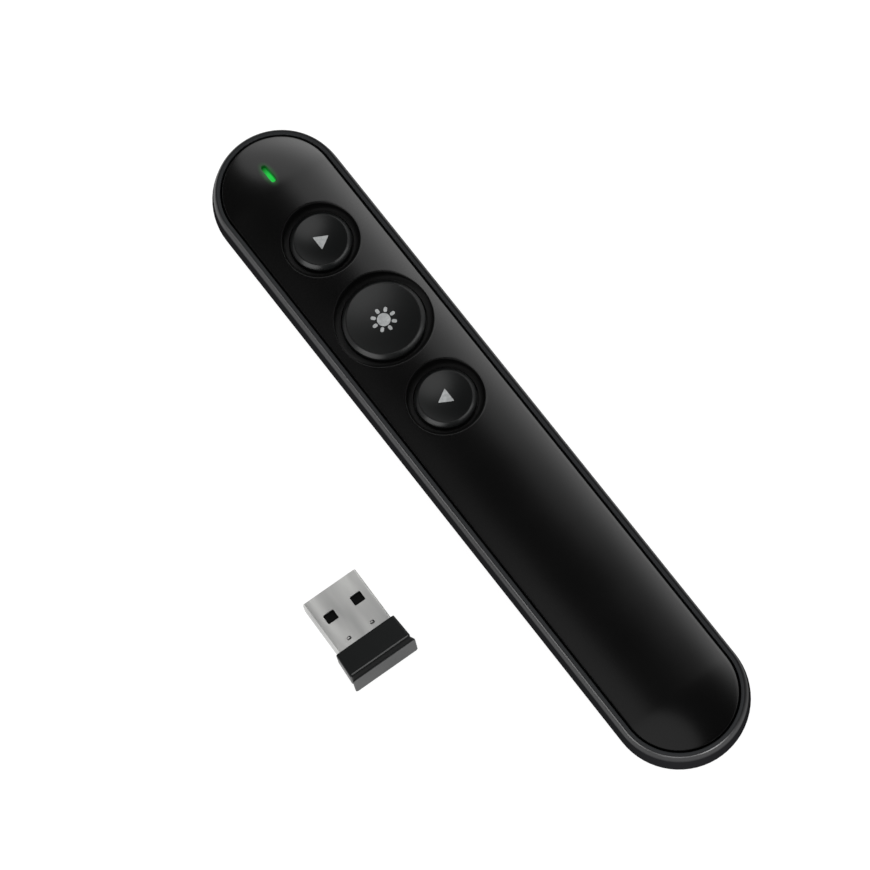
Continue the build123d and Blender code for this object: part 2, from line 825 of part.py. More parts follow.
# ---------------------------------------------------------------- all nodes
def nodes():
    """Every piece by its node's name; a list is a group of separate like pieces."""
    pieces = {
        "upper_case": upper_case(),
        "lower_case": lower_case(),
        "faceplate": faceplate(),
        "battery_door": battery_door(),
        "main_board": main_board(),
        "radio_chip": on_board((chip_size, chip_size, chip_height), 0, power_y),
        "board_crystal": on_board(crystal_size, crystal_x, power_y),
        "board_capacitors": capacitors(),
        "chip_antenna": on_board(antenna_size, 0, screw_middle_y),
        "status_led": on_board(led_size, 0, guide_rear + guide_leg / 2),
        "light_guide": light_guide(),
        "laser_barrel": laser_barrel(),
        "laser_lens": laser_lens(),
        "laser_window": laser_window(),
        "power_switch": power_switch(),
        "power_slider": power_slider(),
        "case_screws": [case_screw(x, y) for x, y in screw_places],
        "cell_left": cell(-cell_x, True),
        "cell_right": cell(cell_x, False),
        "positive_contact": contact_plate(-cell_x, front_contact_y - contact_thickness, contact_size[0]),
        "negative_contact": contact_plate(cell_x, front_contact_y - contact_thickness, contact_size[0]),
        "bridge_contact": contact_plate(0, rear_contact_y, 2 * cell_x + contact_size[0]),
        "front_spring": cell_spring(cell_x, front_contact_y - contact_thickness, False),
        "rear_spring": cell_spring(-cell_x, rear_contact_y + contact_thickness, True),
        "receiver_shell": receiver_place(receiver_shell()),
        "receiver_tongue": receiver_place(receiver_tongue()),
        "receiver_contacts": [receiver_place(pad) for pad in receiver_contacts()],
        "receiver_board": receiver_place(receiver_board()),
        "receiver_chip": receiver_place(receiver_chip()),
        "receiver_cap": receiver_place(receiver_cap()),
    }
    for name, (y, cap, _) in buttons.items():
        pieces[name + "_button"] = button_cap(y, cap)
        pieces[name + "_switch"] = switch_body(y)
        pieces[name + "_plunger"] = plunger(y)
    return pieces


os.makedirs("parts", exist_ok=True)
for node, shape in nodes().items():
    solids = [solid for piece in (shape if isinstance(shape, list) else [shape]) for solid in piece.solids()]
    whole = solids[0] if len(solids) == 1 else Compound(children=solids)
    export_step(whole, f"parts/{node}.step")
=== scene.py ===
"""Wireless presentation clicker and its USB receiver: the visible surfaces, finishes and stage.

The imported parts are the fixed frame: +Z up, +Y towards the indicator light, +X to the right.
"""
import json
from math import atan, cos, pi, radians, sin, sqrt, tan

import bmesh
import bpy
import numpy as np
from mathutils import Matrix, Vector

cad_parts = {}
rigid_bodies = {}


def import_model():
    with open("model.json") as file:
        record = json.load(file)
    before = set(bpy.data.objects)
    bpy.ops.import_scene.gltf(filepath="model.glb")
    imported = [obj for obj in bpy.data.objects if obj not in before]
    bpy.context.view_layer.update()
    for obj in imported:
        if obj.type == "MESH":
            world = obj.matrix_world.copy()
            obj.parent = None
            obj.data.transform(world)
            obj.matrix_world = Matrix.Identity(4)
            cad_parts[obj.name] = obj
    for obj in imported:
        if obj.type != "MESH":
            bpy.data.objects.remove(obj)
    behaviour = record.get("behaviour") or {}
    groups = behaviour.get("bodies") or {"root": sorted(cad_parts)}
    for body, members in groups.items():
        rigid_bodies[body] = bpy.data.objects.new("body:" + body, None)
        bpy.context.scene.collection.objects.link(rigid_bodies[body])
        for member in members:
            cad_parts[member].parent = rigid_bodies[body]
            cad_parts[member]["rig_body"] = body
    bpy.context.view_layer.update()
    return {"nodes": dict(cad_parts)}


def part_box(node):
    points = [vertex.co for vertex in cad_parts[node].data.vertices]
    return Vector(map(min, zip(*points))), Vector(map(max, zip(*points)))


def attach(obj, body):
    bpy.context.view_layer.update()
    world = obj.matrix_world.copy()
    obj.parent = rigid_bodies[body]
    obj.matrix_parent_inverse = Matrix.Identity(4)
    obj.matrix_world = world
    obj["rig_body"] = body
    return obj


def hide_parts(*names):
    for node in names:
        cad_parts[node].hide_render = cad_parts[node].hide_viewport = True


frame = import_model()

bl_info = {
    "name": "Presentation Clicker",
    "version": (1, 0, 0),
    "blender": (4, 5, 0),
    "location": "View3D > Sidebar > Clicker",
    "description": "Builds a wireless presentation clicker and its receiver on their packed parts",
    "category": "Add Mesh",
}

MM = 0.001
HAIR = 1e-9  # too small to count
FINISH = {}


def linear(code):
    """sRGB hex colour to linear RGBA: straight below 0.04045, a power curve above it.

    A colour setting is linear already and passes through.
    """
    if not isinstance(code, str):
        return code
    share = np.array([int(code[i:i + 2], 16) for i in (1, 3, 5)]) / 255
    share = np.where(share <= 0.04045, share / 12.92, ((share + 0.055) / 1.055) ** 2.4)
    return (*share.tolist(), 1.0)


# ---- places taken from the frame
CASE_LENGTH = 150.4 * MM
HALF_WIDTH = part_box("upper_case")[1].x
SPINE = CASE_LENGTH / 2 - HALF_WIDTH  # half length of the line that the long plan runs round
PLATE_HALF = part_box("faceplate")[1].x
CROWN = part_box("faceplate")[1].z
CELL_RADIUS = (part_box("cell_left")[1].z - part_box("cell_left")[0].z) / 2
LIGHT_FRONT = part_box("light_guide")[1].y
# Radius of each key and of the ring round it.
KEYS = {"next": (5.9 * MM, 7.4 * MM), "laser": (7.9 * MM, 9.4 * MM),
        "previous": (5.9 * MM, 7.4 * MM)}


def middle(node):
    """Centre of a node's box."""
    low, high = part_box(node)
    return (low + high) / 2


# ---- user settings
def length(name, description, size):
    """A length property, given in millimetres."""
    return bpy.props.FloatProperty(
        name=name, description=description, default=size * MM, unit="LENGTH", precision=5)


def colour(name, description, code):
    """A colour property, given as an sRGB hex value."""
    return bpy.props.FloatVectorProperty(
        name=name, description=description, default=linear(code), size=4, subtype="COLOR",
        min=0.0, max=1.0)


class ClickerSizes(bpy.types.PropertyGroup):
    """Sizes of the clicker's visible surfaces."""
    lip: length("Lip height", "Height of the lip round the cover plate", 13.3)
    plate_thickness: length("Plate thickness", "Thickness of the cover plate", 1.2)
    plate_round: length("Plate rounding", "Radius on the plate's outer edge", 0.3)
    ring_floor: length("Ring floor", "Height of the floor of the rings round the keys", 13.6)
    ring_foot: length("Ring foot", "Width over which a ring's wall curves to its floor", 1.1)
    ring_round: length("Ring rounding", "Radius on the outer edge of a ring", 0.2)
    collar_low: length("Collar foot", "Height of the foot of the collars under the plate", 12.6)
    collar_wall: length("Collar wall", "Wall of the collars under the plate", 0.8)
    key_gap: length("Key gap", "Gap round each key", 0.2)
    cap_foot: length("Key foot", "Height at which a key's sloping band starts", 14.45)
    band_width: length("Band width", "Width of the sloping band of a key", 0.72)
    band_rise: length("Band rise", "Height of the sloping band of a key", 0.9)
    dish_depth: length("Dish depth", "Depth of the hollow in a key's top", 0.75)
    flange_top: length("Flange top", "Height of the top of a key's flange", 12.5)
    flange_width: length("Flange width", "Width of a key's flange", 0.9)
    flange_thickness: length("Flange thickness", "Thickness of a key's flange", 0.7)
    skirt: length("Skirt", "Wall of a key's skirt", 1.0)
    roof: length("Roof", "Thickness of a key under its hollow", 1.2)
    post: length("Post", "Radius of the post under a key", 1.6)
    sign_height: length("Sign height", "Thickness of the printed signs", 0.02)
    triangle: length("Triangle", "Distance from a triangle's middle to its sides", 0.89)
    disc: length("Disc", "Radius of the disc in the sun sign", 1.3)
    slot_length: length("Slot length", "Length of the light slot", 4.1)
    slot_width: length("Slot width", "Width of the light slot", 1.0)


class ReceiverSizes(bpy.types.PropertyGroup):
    """Sizes of the receiver's visible surfaces."""
    width: length("Plug width", "Width of the plug", 12.0)
    height: length("Plug height", "Height of the plug", 4.5)
    reach: length("Plug length", "Length of the plug outside the cap", 11.9)
    buried: length("Buried length", "Length of the plug inside the cap", 5.0)
    strip: length("Strip", "Thickness of the plug's steel strip", 0.3)
    corner: length("Corner", "Radius of the plug's long edges", 0.5)
    cap_length: length("Cap length", "Length of the cap", 6.5)
    edge: length("Edge", "Radius on the cap's edges", 0.14)


class FinishColours(bpy.types.PropertyGroup):
    """Colours of the finishes."""
    case: colour("Case", "Satin black ABS of the case", "#101011")
    plate: colour("Plate", "Piano-black acrylic of the cover plate", "#060606")
    key: colour("Key", "Black ABS of the keys", "#0c0d0d")
    icon: colour("Sign", "Silver pad-printed signs, where lightest", "#a8aaaa")
    icon_dark: colour("Dark sign", "Silver pad-printed signs, where darkest", "#686a6a")
    light: colour("Light", "Lit indicator", "#22c447")
    steel: colour("Steel", "Nickel-plated plug shell, where lightest", "#cfcfcd")
    steel_dark: colour("Dark steel", "Nickel-plated plug shell, where darkest", "#a9a9a8")
    cap: colour("Cap", "Black ABS of the receiver's cap", "#141515")


# ---- nodes and finishes
def feed(node, sources):
    """Gives a node's inputs their numbers, vectors or links.

    A node as a source stands for its first output; an input's name may be written with _.
    """
    for socket, source in sources.items():
        target = node.inputs[socket.replace("_", " ") if isinstance(socket, str) else socket]
        if isinstance(source, bpy.types.Node):
            source = source.outputs[0]
        if isinstance(source, bpy.types.NodeSocket):
            node.id_data.links.new(source, target)
        else:
            target.default_value = source


def add(tree, kind, numbered=None, **named):
    """Adds one node, with its attributes and inputs by name and further inputs by number."""
    node = tree.nodes.new(kind)
    for key in [key for key in named if hasattr(node, key)]:
        setattr(node, key, named.pop(key))
    feed(node, {**named, **(numbered or {})})
    return node


def material(name, base, roughness, **shader):
    """Starts a finish and keeps it by its name. Returns its Principled shader.

    Its patterns read the Texture Coordinate node called place.
    """
    new = FINISH[name] = bpy.data.materials.new(name)
    new.use_nodes = True
    add(new.node_tree, "ShaderNodeTexCoord", name="place")
    surface = new.node_tree.nodes["Principled BSDF"]
    feed(surface, {"Base Color": linear(base), "Roughness": roughness, **shader})
    return surface


def place_on(surface):
    """Object coordinates, the same on every piece because each sits at the origin."""
    return surface.id_data.nodes["place"].outputs["Object"]


def moulded(name, base, roughness, grain, depth, spread=0.04, **shader):
    """A finish whose gloss changes faintly over centimetres, with a fine grain.

    grain is the grain's spacing and depth its height in millimetres, and spread how far the
    roughness wanders.
    """
    surface = material(name, base, roughness, **shader)
    tree, place = surface.id_data, place_on(surface)
    cloud = add(tree, "ShaderNodeTexNoise", Vector=place, Scale=1 / (18 * MM), Detail=2.0)
    gloss = add(tree, "ShaderNodeMapRange", Value=cloud, From_Min=0.3, From_Max=0.7,
                To_Min=roughness - spread, To_Max=roughness + spread)
    fine = add(tree, "ShaderNodeTexNoise", Vector=place, Scale=1 / (grain * MM), Detail=3.0)
    bump = add(tree, "ShaderNodeBump", Height=fine, Strength=1.0, Distance=depth * MM)
    feed(surface, {"Roughness": gloss, "Normal": bump})
    return surface


def tinted(surface, low, high, patch):
    """Lets a finish's colour wander between two colours over patches of a size in millimetres."""
    tree = surface.id_data
    cloud = add(tree, "ShaderNodeTexNoise", Vector=place_on(surface), Scale=1 / (patch * MM),
                Detail=4.0)
    mix = add(tree, "ShaderNodeMix", {6: linear(low), 7: linear(high)}, Factor=cloud,
              data_type="RGBA")
    feed(surface, {"Base Color": mix.outputs[2]})


def glow(surface, reach, ahead, strength):
    """Emission that fades smoothly from the indicator outwards.

    It fades over an oval: reach holds its half widths, and ahead is how far its middle lies in
    front of the slot's, all in millimetres.
    """
    tree = surface.id_data
    slot_middle = LIGHT_FRONT - 2.0 * MM
    across, along = (1 / (size * MM) for size in reach)
    offset = add(tree, "ShaderNodeVectorMath",
                 {0: place_on(surface), 1: (0, slot_middle + ahead * MM, 0)},
                 operation="SUBTRACT")
    shaped = add(tree, "ShaderNodeVectorMath", {0: offset, 1: (across, along, 0)},
                 operation="MULTIPLY")
    far = add(tree, "ShaderNodeVectorMath", {0: shaped}, operation="LENGTH")
    fade = add(tree, "ShaderNodeMapRange", Value=far.outputs["Value"],
               interpolation_type="SMOOTHSTEP", From_Min=0.25, From_Max=1.0, To_Min=strength,
               To_Max=0.0)
    feed(surface, {"Emission Strength": fade})


def gloss_painted_shade(surface, low, high, shiny):
    """Gloss that grows with height, from none at one height to shiny at another.

    This is painted shade: the gloss is taken away down the side, and all but a kept share of it at
    the right, so that they stay dark instead of reflecting the bright floor and only the left
    shoulder shows a highlight.
    """
    tree, kept = surface.id_data, 0.12
    place = add(tree, "ShaderNodeSeparateXYZ", Vector=place_on(surface))
    gloss, right_shade = (
        add(tree, "ShaderNodeMapRange", Value=place.outputs[axis],
            interpolation_type="SMOOTHSTEP", From_Min=start, From_Max=end, To_Min=first,
            To_Max=last)
        for axis, start, end, first, last in (("Z", low, high, 0.0, shiny),
                                              ("X", 0.0, HALF_WIDTH, 1.0, kept)))
    share = add(tree, "ShaderNodeMath", {0: gloss, 1: right_shade}, operation="MULTIPLY")
    feed(surface, {"Specular IOR Level": share})


def rolled_steel(name, dark, bright):
    """Plated steel strip: rolling marks 0.08 mm apart blur its gloss, and it is burnished in bands.

    The marks are stretched along the plug, and the bands lie 12 degrees askew.
    """
    surface = material(name, dark, 0.42, Metallic=1.0)
    tree, place = surface.id_data, place_on(surface)
    fine = 1 / (0.08 * MM)
    stretch = add(tree, "ShaderNodeMapping", Vector=place, Scale=(fine, 1 / (3.0 * MM), fine))
    marks = add(tree, "ShaderNodeTexNoise", Vector=stretch, Scale=1.0, Detail=3.0)
    gloss = add(tree, "ShaderNodeMapRange", Value=marks, To_Min=0.34, To_Max=0.52)
    bump = add(tree, "ShaderNodeBump", Height=marks, Strength=1.0, Distance=0.0012 * MM)
    bands = add(tree, "ShaderNodeMapping", Vector=place, Rotation=(0, 0, radians(-12)),
                Scale=(1 / (5.0 * MM), 1 / (22.0 * MM), 0))
    burnish = add(tree, "ShaderNodeTexNoise", Vector=bands, Scale=1.0, Detail=2.0)
    tone = add(tree, "ShaderNodeMapRange", Value=burnish, From_Min=0.35, From_Max=0.65)
    mix = add(tree, "ShaderNodeMix", {6: dark, 7: bright}, Factor=tone, data_type="RGBA")
    feed(surface, {"Roughness": gloss, "Normal": bump, "Base Color": mix.outputs[2]})


def make_finishes(colours):
    """Every finish, each starting from what the real material is."""
    # ABS, moulded in a finely blasted tool, satin; its gloss is masked as painted shade: none down
    # the side, full at the left shoulder and little at the right.
    case = moulded("satin_abs", colours.case, 0.36, 0.25, 0.0012)
    gloss_painted_shade(case, 11.5 * MM, 13.15 * MM, 0.28)
    # The lip round the plate is painted lighter than the case: a painted highlight standing in for
    # the light it catches from above.
    moulded("lip_abs_painted_highlight", "#202122", 0.4, 0.25, 0.001, Specular_IOR_Level=0.08)
    # Underside: ABS with a coarser spark-eroded grain.
    moulded("grained_abs", colours.case, 0.52, 0.45, 0.006, Specular_IOR_Level=0.2)
    # Acrylic plate with a polished face: deep black with clear, slightly soft reflections. The green
    # glow round its slot is painted light: emission on the plate itself, standing in for the
    # indicator's light.
    plate = moulded("piano_black_acrylic", colours.plate, 0.22, 3.0, 0.0004, 0.02, IOR=1.49,
                    Emission_Color=colours.light)
    glow(plate, (1.6, 3.4), 0.0, 0.14)
    # The rings round the keys are blasted in the same tool, so they stay dark and dull.
    moulded("blasted_acrylic", colours.plate, 0.45, 0.2, 0.001, Specular_IOR_Level=0.25)
    # Keys: ABS from a smoother tool than the case, so a little glossier.
    moulded("smooth_abs", colours.key, 0.32, 0.3, 0.001, 0.03, Specular_IOR_Level=0.22)
    # Pad-printed silver ink: fine metal flake in lacquer, slightly mottled.
    tinted(moulded("silver_ink", colours.icon, 0.45, 0.12, 0.002, Metallic=0.3),
           colours.icon_dark, colours.icon, 0.6)
    # Clear polycarbonate light guide, lit from below: green at full strength.
    guide = moulded("lit_polycarbonate", colours.light, 0.25, 0.4, 0.002,
                    Emission_Color=colours.light)
    glow(guide, (1.6, 2.6), -0.5, 0.78)
    # Nickel-plated steel strip: satin, with fine rolling marks.
    rolled_steel("nickel_plated_steel", colours.steel_dark, colours.steel)
    # Receiver cap: ABS, satin.
    moulded("cap_abs", colours.cap, 0.36, 0.2, 0.0012, Specular_IOR_Level=0.15)
    # Glass-filled nylon of switch bodies and insulators: dull. Plungers: plain ivory nylon.
    moulded("filled_nylon", "#0e0e0e", 0.55, 0.3, 0.003, Specular_IOR_Level=0.15)
    moulded("ivory_nylon", "#cfcbc0", 0.5, 0.3, 0.003)
    # Slider knob: grey ABS.
    moulded("knob_abs", "#4a4b4c", 0.42, 0.25, 0.003)
    # Laminate under green solder mask: the glass weave shows as a faint patchwork.
    tinted(moulded("solder_mask", "#0c4a26", 0.35, 0.5, 0.004), "#093d1f", "#0f5a2f", 0.7)
    # Transfer-moulded epoxy of the chips: matt, finely pitted.
    moulded("moulded_epoxy", "#1c1c1e", 0.6, 0.1, 0.003)
    # Fired ceramic of capacitors and antenna: slightly speckled.
    tinted(moulded("fired_ceramic", "#b9a27c", 0.5, 0.1, 0.003), "#a98f68", "#c7b490", 0.3)
    # Clear resin of the light source.
    moulded("clear_resin", "#cfe8cf", 0.2, 0.3, 0.001)
    # Tinned steel strip of the contacts, drawn spring wire, turned brass and plated gold.
    moulded("tinned_steel", "#c4c4c0", 0.32, 0.4, 0.002, Metallic=1.0)
    moulded("spring_steel", "#c9c9c6", 0.25, 0.4, 0.001, Metallic=1.0)
    moulded("turned_brass", "#c79a52", 0.28, 0.15, 0.002, Metallic=1.0)
    moulded("gold_plating", "#d8ac55", 0.25, 0.2, 0.001, Metallic=1.0)
    # Screws: steel with a black oxide, so a dark, half metallic shine.
    moulded("black_oxide_steel", "#1a1a1c", 0.38, 0.15, 0.003, Metallic=0.8)
    # Cell sleeve: metallised foil, bare of any print.
    tinted(moulded("cell_foil", "#2b2d31", 0.3, 0.6, 0.001, Metallic=0.7),
           "#26282c", "#34373c", 4.0)
    # Laser window: acrylic dyed so deep a red that little light passes. Lens: clear acrylic.
    moulded("red_acrylic", "#3a080b", 0.2, 1.0, 0.0004, 0.02, Specular_IOR_Level=0.1)
    moulded("optical_acrylic", "#e6edf2", 0.05, 1.0, 0.0001, 0.01, Transmission_Weight=0.9)


# ---- pieces
def edit(mesh, change):
    """Opens a mesh, lets a function change it and writes it back."""
    work = bmesh.new()
    work.from_mesh(mesh)
    change(work)
    work.to_mesh(mesh)
    work.free()


def closed_mesh(name, vertices, faces, marks=None):
    """A mesh of points and quads: points that meet are merged, and faces are turned outwards."""
    mesh = bpy.data.meshes.new(name)
    mesh.from_pydata(vertices.tolist(), [], faces.tolist())
    if marks is not None:
        mesh.polygons.foreach_set("material_index", marks.astype(np.int32))

    def close(work):
        bmesh.ops.remove_doubles(work, verts=work.verts, dist=2e-7)
        bmesh.ops.dissolve_degenerate(work, edges=work.edges, dist=1e-8)
        bmesh.ops.recalc_face_normals(work, faces=work.faces)
    edit(mesh, close)
    return mesh


def piece_of(name, mesh, finishes, body, replaced=(), sharp=None):
    """Makes a smooth piece of a mesh with its finishes, ties it to its body and hides the parts it
    stands for.

    Edges sharper than an angle in degrees stay sharp, where one is given.
    """
    mesh.polygons.foreach_set("use_smooth", np.ones(len(mesh.polygons), bool))
    if sharp:
        mesh.set_sharp_from_angle(angle=radians(sharp))
    for finish in finishes:
        mesh.materials.append(FINISH[finish])
    piece = bpy.data.objects.new(name, mesh)
    bpy.context.scene.collection.objects.link(piece)
    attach(piece, body)
    if replaced:
        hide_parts(*replaced)
    return piece


def assemble(name, patches, finishes, body, replaced=(), sharp=40.0):
    """Joins grids of points into one closed piece.

    Each patch is (points, finish number) with points as rows, columns, 3; neighbouring points
    make quads.
    """
    vertices, faces, marks, start = [], [], [], 0
    for points, finish in patches:
        rows, columns = points.shape[:2]
        index = np.arange(rows * columns).reshape(rows, columns) + start
        quads = np.stack([index[:-1, :-1], index[:-1, 1:], index[1:, 1:], index[1:, :-1]], -1)
        faces.append(quads.reshape(-1, 4))
        marks.append(np.full(len(faces[-1]), finish))
        vertices.append(points.reshape(-1, 3))
        start += rows * columns
    mesh = closed_mesh(name, *(np.concatenate(part) for part in (vertices, faces, marks)))
    return piece_of(name, mesh, finishes, body, replaced, sharp)


def bevelled(piece, segments, angle):
    """A radius of 0.1 mm on edges sharper than an angle in degrees. Returns the modifier."""
    rounding = piece.modifiers.new("edges", "BEVEL")
    rounding.width = 0.1 * MM
    rounding.segments = segments
    rounding.limit_method = "ANGLE"
    rounding.angle_limit = radians(angle)
    rounding.use_clamp_overlap = False
    return rounding


def dress(finishes):
    """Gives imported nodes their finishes."""
    for node, finish in finishes.items():
        piece = frame["nodes"][node]
        piece.data.materials.clear()
        piece.data.materials.append(FINISH[finish])


# ---- surfaces
def soften(points, cuts):
    """Rounds the corners of a line of points.

    Each corner with a cut gives way to a quadratic curve that starts and ends that far from it,
    and takes less than half of the lines beside it.
    """
    points = np.asarray(points, float)
    share = np.linspace(0, 1, 5)[:, None]
    most = 0.49
    line = [points[:1]]
    for before, corner, after, cut in zip(points, points[1:], points[2:], cuts):
        if not cut:
            line.append(corner[None])
            continue
        into, out = corner - before, after - corner
        start = corner - into * min(cut / np.linalg.norm(into), most)
        end = corner + out * min(cut / np.linalg.norm(out), most)
        line.append((1 - share) ** 2 * start + 2 * share * (1 - share) * corner
                    + share ** 2 * end)
    return np.concatenate(line + [points[-1:]])


def outline(sides, turns=48):
    """Closed walk round the long plan: foot points on the spine and outward directions."""
    zero, one = np.zeros_like(sides), np.ones_like(sides)
    front = np.linspace(0, pi, turns + 1)
    spine = np.full_like(front, SPINE)
    right = np.stack([zero, sides, one, zero], -1)
    left = np.stack([zero, sides[::-1], -one, zero], -1)
    ahead = np.stack([0 * front, spine, np.cos(front), np.sin(front)], -1)
    behind = np.stack([0 * front, -spine, -np.cos(front), -np.sin(front)], -1)
    return np.concatenate([right[:-1], ahead[:-1], left[:-1], behind])


def carry(profile, path):
    """Carries a profile of (distance, height) along a path: foot + distance x direction, height."""
    flat = path[:, None, :2] + profile[None, :, :1] * path[:, None, 2:]
    height = np.broadcast_to(profile[None, :, 1:], (*flat.shape[:2], 1))
    return np.concatenate([flat, height], -1)


def turned(profile, centre=(0.0, 0.0), count=144):
    """Turns a profile of (radius, height) about an upright axis through a centre."""
    angle = np.linspace(0, 2 * pi, count + 1)[:, None]
    x = centre[0] + profile[None, :, 0] * np.cos(angle)
    y = centre[1] + profile[None, :, 0] * np.sin(angle)
    return np.stack([x, y, np.broadcast_to(profile[None, :, 1], x.shape)], -1)


def crown_radius(s):
    """Radius of the circle across the crowned plate, from its rise over its half width."""
    rise = CROWN - s.lip
    return (PLATE_HALF ** 2 + rise ** 2) / (2 * rise)


def dome(s, drop=0.0):
    """Height of the crown at x, y: a circle's arc in the distance from the spine.

    Its radius is smaller by drop.
    """
    radius = crown_radius(s)

    def height(x, y):
        distance = np.hypot(x, np.maximum(np.abs(y) - SPINE, 0))
        return CROWN - radius + np.sqrt((radius - drop) ** 2 - distance ** 2)
    return height


def lowered(height, drop):
    """A height function moved straight down."""
    return lambda x, y: height(x, y) - drop


def level(z):
    """A height function with one value."""
    return lambda x, y: np.full_like(x, z)


def dished(edge, centre_y, ring, floor, share):
    """Height of a ring's dish: a share of the way down from its edge's height to its floor."""
    def height(x, y):
        far = np.hypot(x, y - centre_y)
        rim = edge(x / far * ring, centre_y + (y - centre_y) / far * ring)
        return rim + (floor - rim) * share
    return height


def round_edge(radius):
    """Distance of a round hole's edge along unit directions."""
    return lambda way: np.full(len(way), radius)


def slot_edge(half_length, radius):
    """Distance of a round-ended slot's edge along unit directions; the slot is long along Y."""
    def edge(way):
        dx, dy = np.abs(way).T
        flat = radius / np.maximum(dx, HAIR)
        bent = dy * half_length + np.sqrt(np.maximum(radius ** 2 - (half_length * dx) ** 2, 0))
        return np.where(flat * dy <= half_length, flat, bent)
    return edge


# ---- cover plate
def hole_rows(border, centre_y, edge, rows):
    """Rows of points from a border in to a hole and round its edge.

    A row is (share, offset, height): its points lie a share of the way from the border to the
    hole's edge moved outwards by the offset, at a height worked out from x and y.
    """
    arm = border - np.array([0, centre_y])
    far = np.hypot(*arm.T)
    way = arm / far[:, None]
    near = edge(way)
    grid = []
    for share, offset, height in rows:
        point = way * (far + (near + offset - far) * share)[:, None] + (0, centre_y)
        grid.append(np.column_stack([point, height(*point.T)]))
    return np.stack(grid)


def cell_border(half, across, sides, rear, front):
    """Border of one stretch of the plate, walked round once; the last one has the round end."""
    run = sides[(sides > rear + HAIR) & (sides < front - HAIR)]
    start = np.column_stack([across, np.full_like(across, rear)])
    right = np.column_stack([np.full_like(run, half), run])
    if front < SPINE - HAIR:
        end = np.column_stack([across[::-1], np.full_like(across, front)])
    else:
        angle = np.linspace(0, pi, 49)
        end = np.column_stack([half * np.cos(angle), SPINE + half * np.sin(angle)])
    left = np.column_stack([np.full_like(run, -half), run[::-1]])
    return np.concatenate([start, right, end, left, start[:1]])


def plate_stops(s, places, slot_y):
    """Places along the plate where its stretches meet, halfway between one hole and the next."""
    spare, step = 2 * MM, 0.7 * MM
    rings = {key: ring for key, (_, ring) in KEYS.items()}
    breaks = [places["previous"] - rings["previous"] - spare]
    for low, high in (("previous", "laser"), ("laser", "next")):
        breaks.append((places[low] + rings[low] + places[high] - rings[high]) / 2)
    breaks.append((places["next"] + rings["next"] + slot_y - s.slot_length / 2) / 2)
    stops = [-SPINE] + breaks + [SPINE]
    runs = [np.linspace(a, b, max(int((b - a) / step), 2) + 1)[:-1]
            for a, b in zip(stops, stops[1:])]
    return breaks, np.concatenate(runs + [[SPINE]])


def plate_patches(s):
    """Every grid of the cover plate: a stretch round each hole, the plain rear and the rim."""
    radius = crown_radius(s)
    half = (PLATE_HALF - s.plate_round) / (1 - s.plate_round / radius)
    top, under = dome(s), dome(s, s.plate_thickness)
    places = {key: middle(key + "_button").y for key in KEYS}
    slot_y = LIGHT_FRONT - s.slot_length / 2 + 0.05 * MM
    breaks, sides = plate_stops(s, places, slot_y)
    across = np.linspace(-half, half, 41)
    inward = np.linspace(0, 1, 15)[:-1]
    outward = (0.66, 0.33, 0)
    bend = np.linspace(0, pi / 2, 5)

    def rounded_rows(size):
        return ([(share, size, top) for share in inward]
                + [(1, size * (1 - sin(a)), lowered(top, size * (1 - cos(a)))) for a in bend])

    patches = []
    for key, rear, front in zip(("previous", "laser", "next"), breaks, breaks[1:]):
        cap, ring = KEYS[key]
        inner, chamfer = cap + s.key_gap - ring, 0.1 * MM
        rows = rounded_rows(s.ring_round)
        rim = lowered(top, s.ring_round)
        dish = [(1, -s.ring_foot * (1 - cos(a)),
                 dished(rim, places[key], ring, s.ring_floor, sin(a)))
                for a in np.linspace(0, pi / 2, 13)]
        dish += [(1, inner + chamfer, level(s.ring_floor)),
                 (1, inner, level(s.ring_floor - chamfer)), (1, inner, level(s.collar_low))]
        below = [(1, inner, level(s.collar_low)), (1, s.collar_wall, level(s.collar_low)),
                 (1, s.collar_wall, under)]
        below += [(share, s.collar_wall, under) for share in outward]
        border = cell_border(half, across, sides, rear, front)
        for finish, part in ((0, rows[:-4]), (1, rows[-5:] + dish), (0, below)):
            patches.append((hole_rows(border, places[key], round_edge(ring), part), finish))
    rows = rounded_rows(0.12 * MM) + [(share, 0, under) for share in (1, *outward)]
    border = cell_border(half, across, sides, breaks[-1], SPINE)
    edge = slot_edge(s.slot_length / 2 - s.slot_width / 2, s.slot_width / 2)
    patches.append((hole_rows(border, slot_y, edge, rows), 0))
    x, y = np.meshgrid(across, sides[sides < breaks[0] + HAIR])
    turn, reach = np.meshgrid(np.linspace(pi, 2 * pi, 49), across[across > -HAIR])
    end_x, end_y = reach * np.cos(turn), reach * np.sin(turn) - SPINE
    for height in (top, under):
        patches.append((np.stack([x, y, height(x, y)], -1), 0))
        patches.append((np.stack([end_x, end_y, height(end_x, end_y)], -1), 0))
    out = np.array([half, sqrt(radius ** 2 - half ** 2)]) / radius
    centre = np.array([half, CROWN - radius + out[1] * radius]) - s.plate_round * out
    angle = np.linspace(np.arctan2(out[1], out[0]), 0, 7)[:, None]
    rim = centre + s.plate_round * np.concatenate([np.cos(angle), np.sin(angle)], 1)
    low = [(PLATE_HALF, under(PLATE_HALF, 0.0)), (half, under(half, 0.0))]
    patches.append((carry(np.concatenate([rim, low]), outline(sides)), 0))
    return patches


class CLICKER_OT_plate(bpy.types.Operator):
    """Crowned cover plate with a dished ring round each key and the slot for the light"""
    bl_idname = "clicker.plate"
    bl_label = "Cover plate"

    def execute(self, context):
        assemble("cover_plate", plate_patches(context.scene.clicker_sizes),
                 ["piano_black_acrylic", "blasted_acrylic"], "case",
                 ["faceplate"], 35.0)
        return {"FINISHED"}


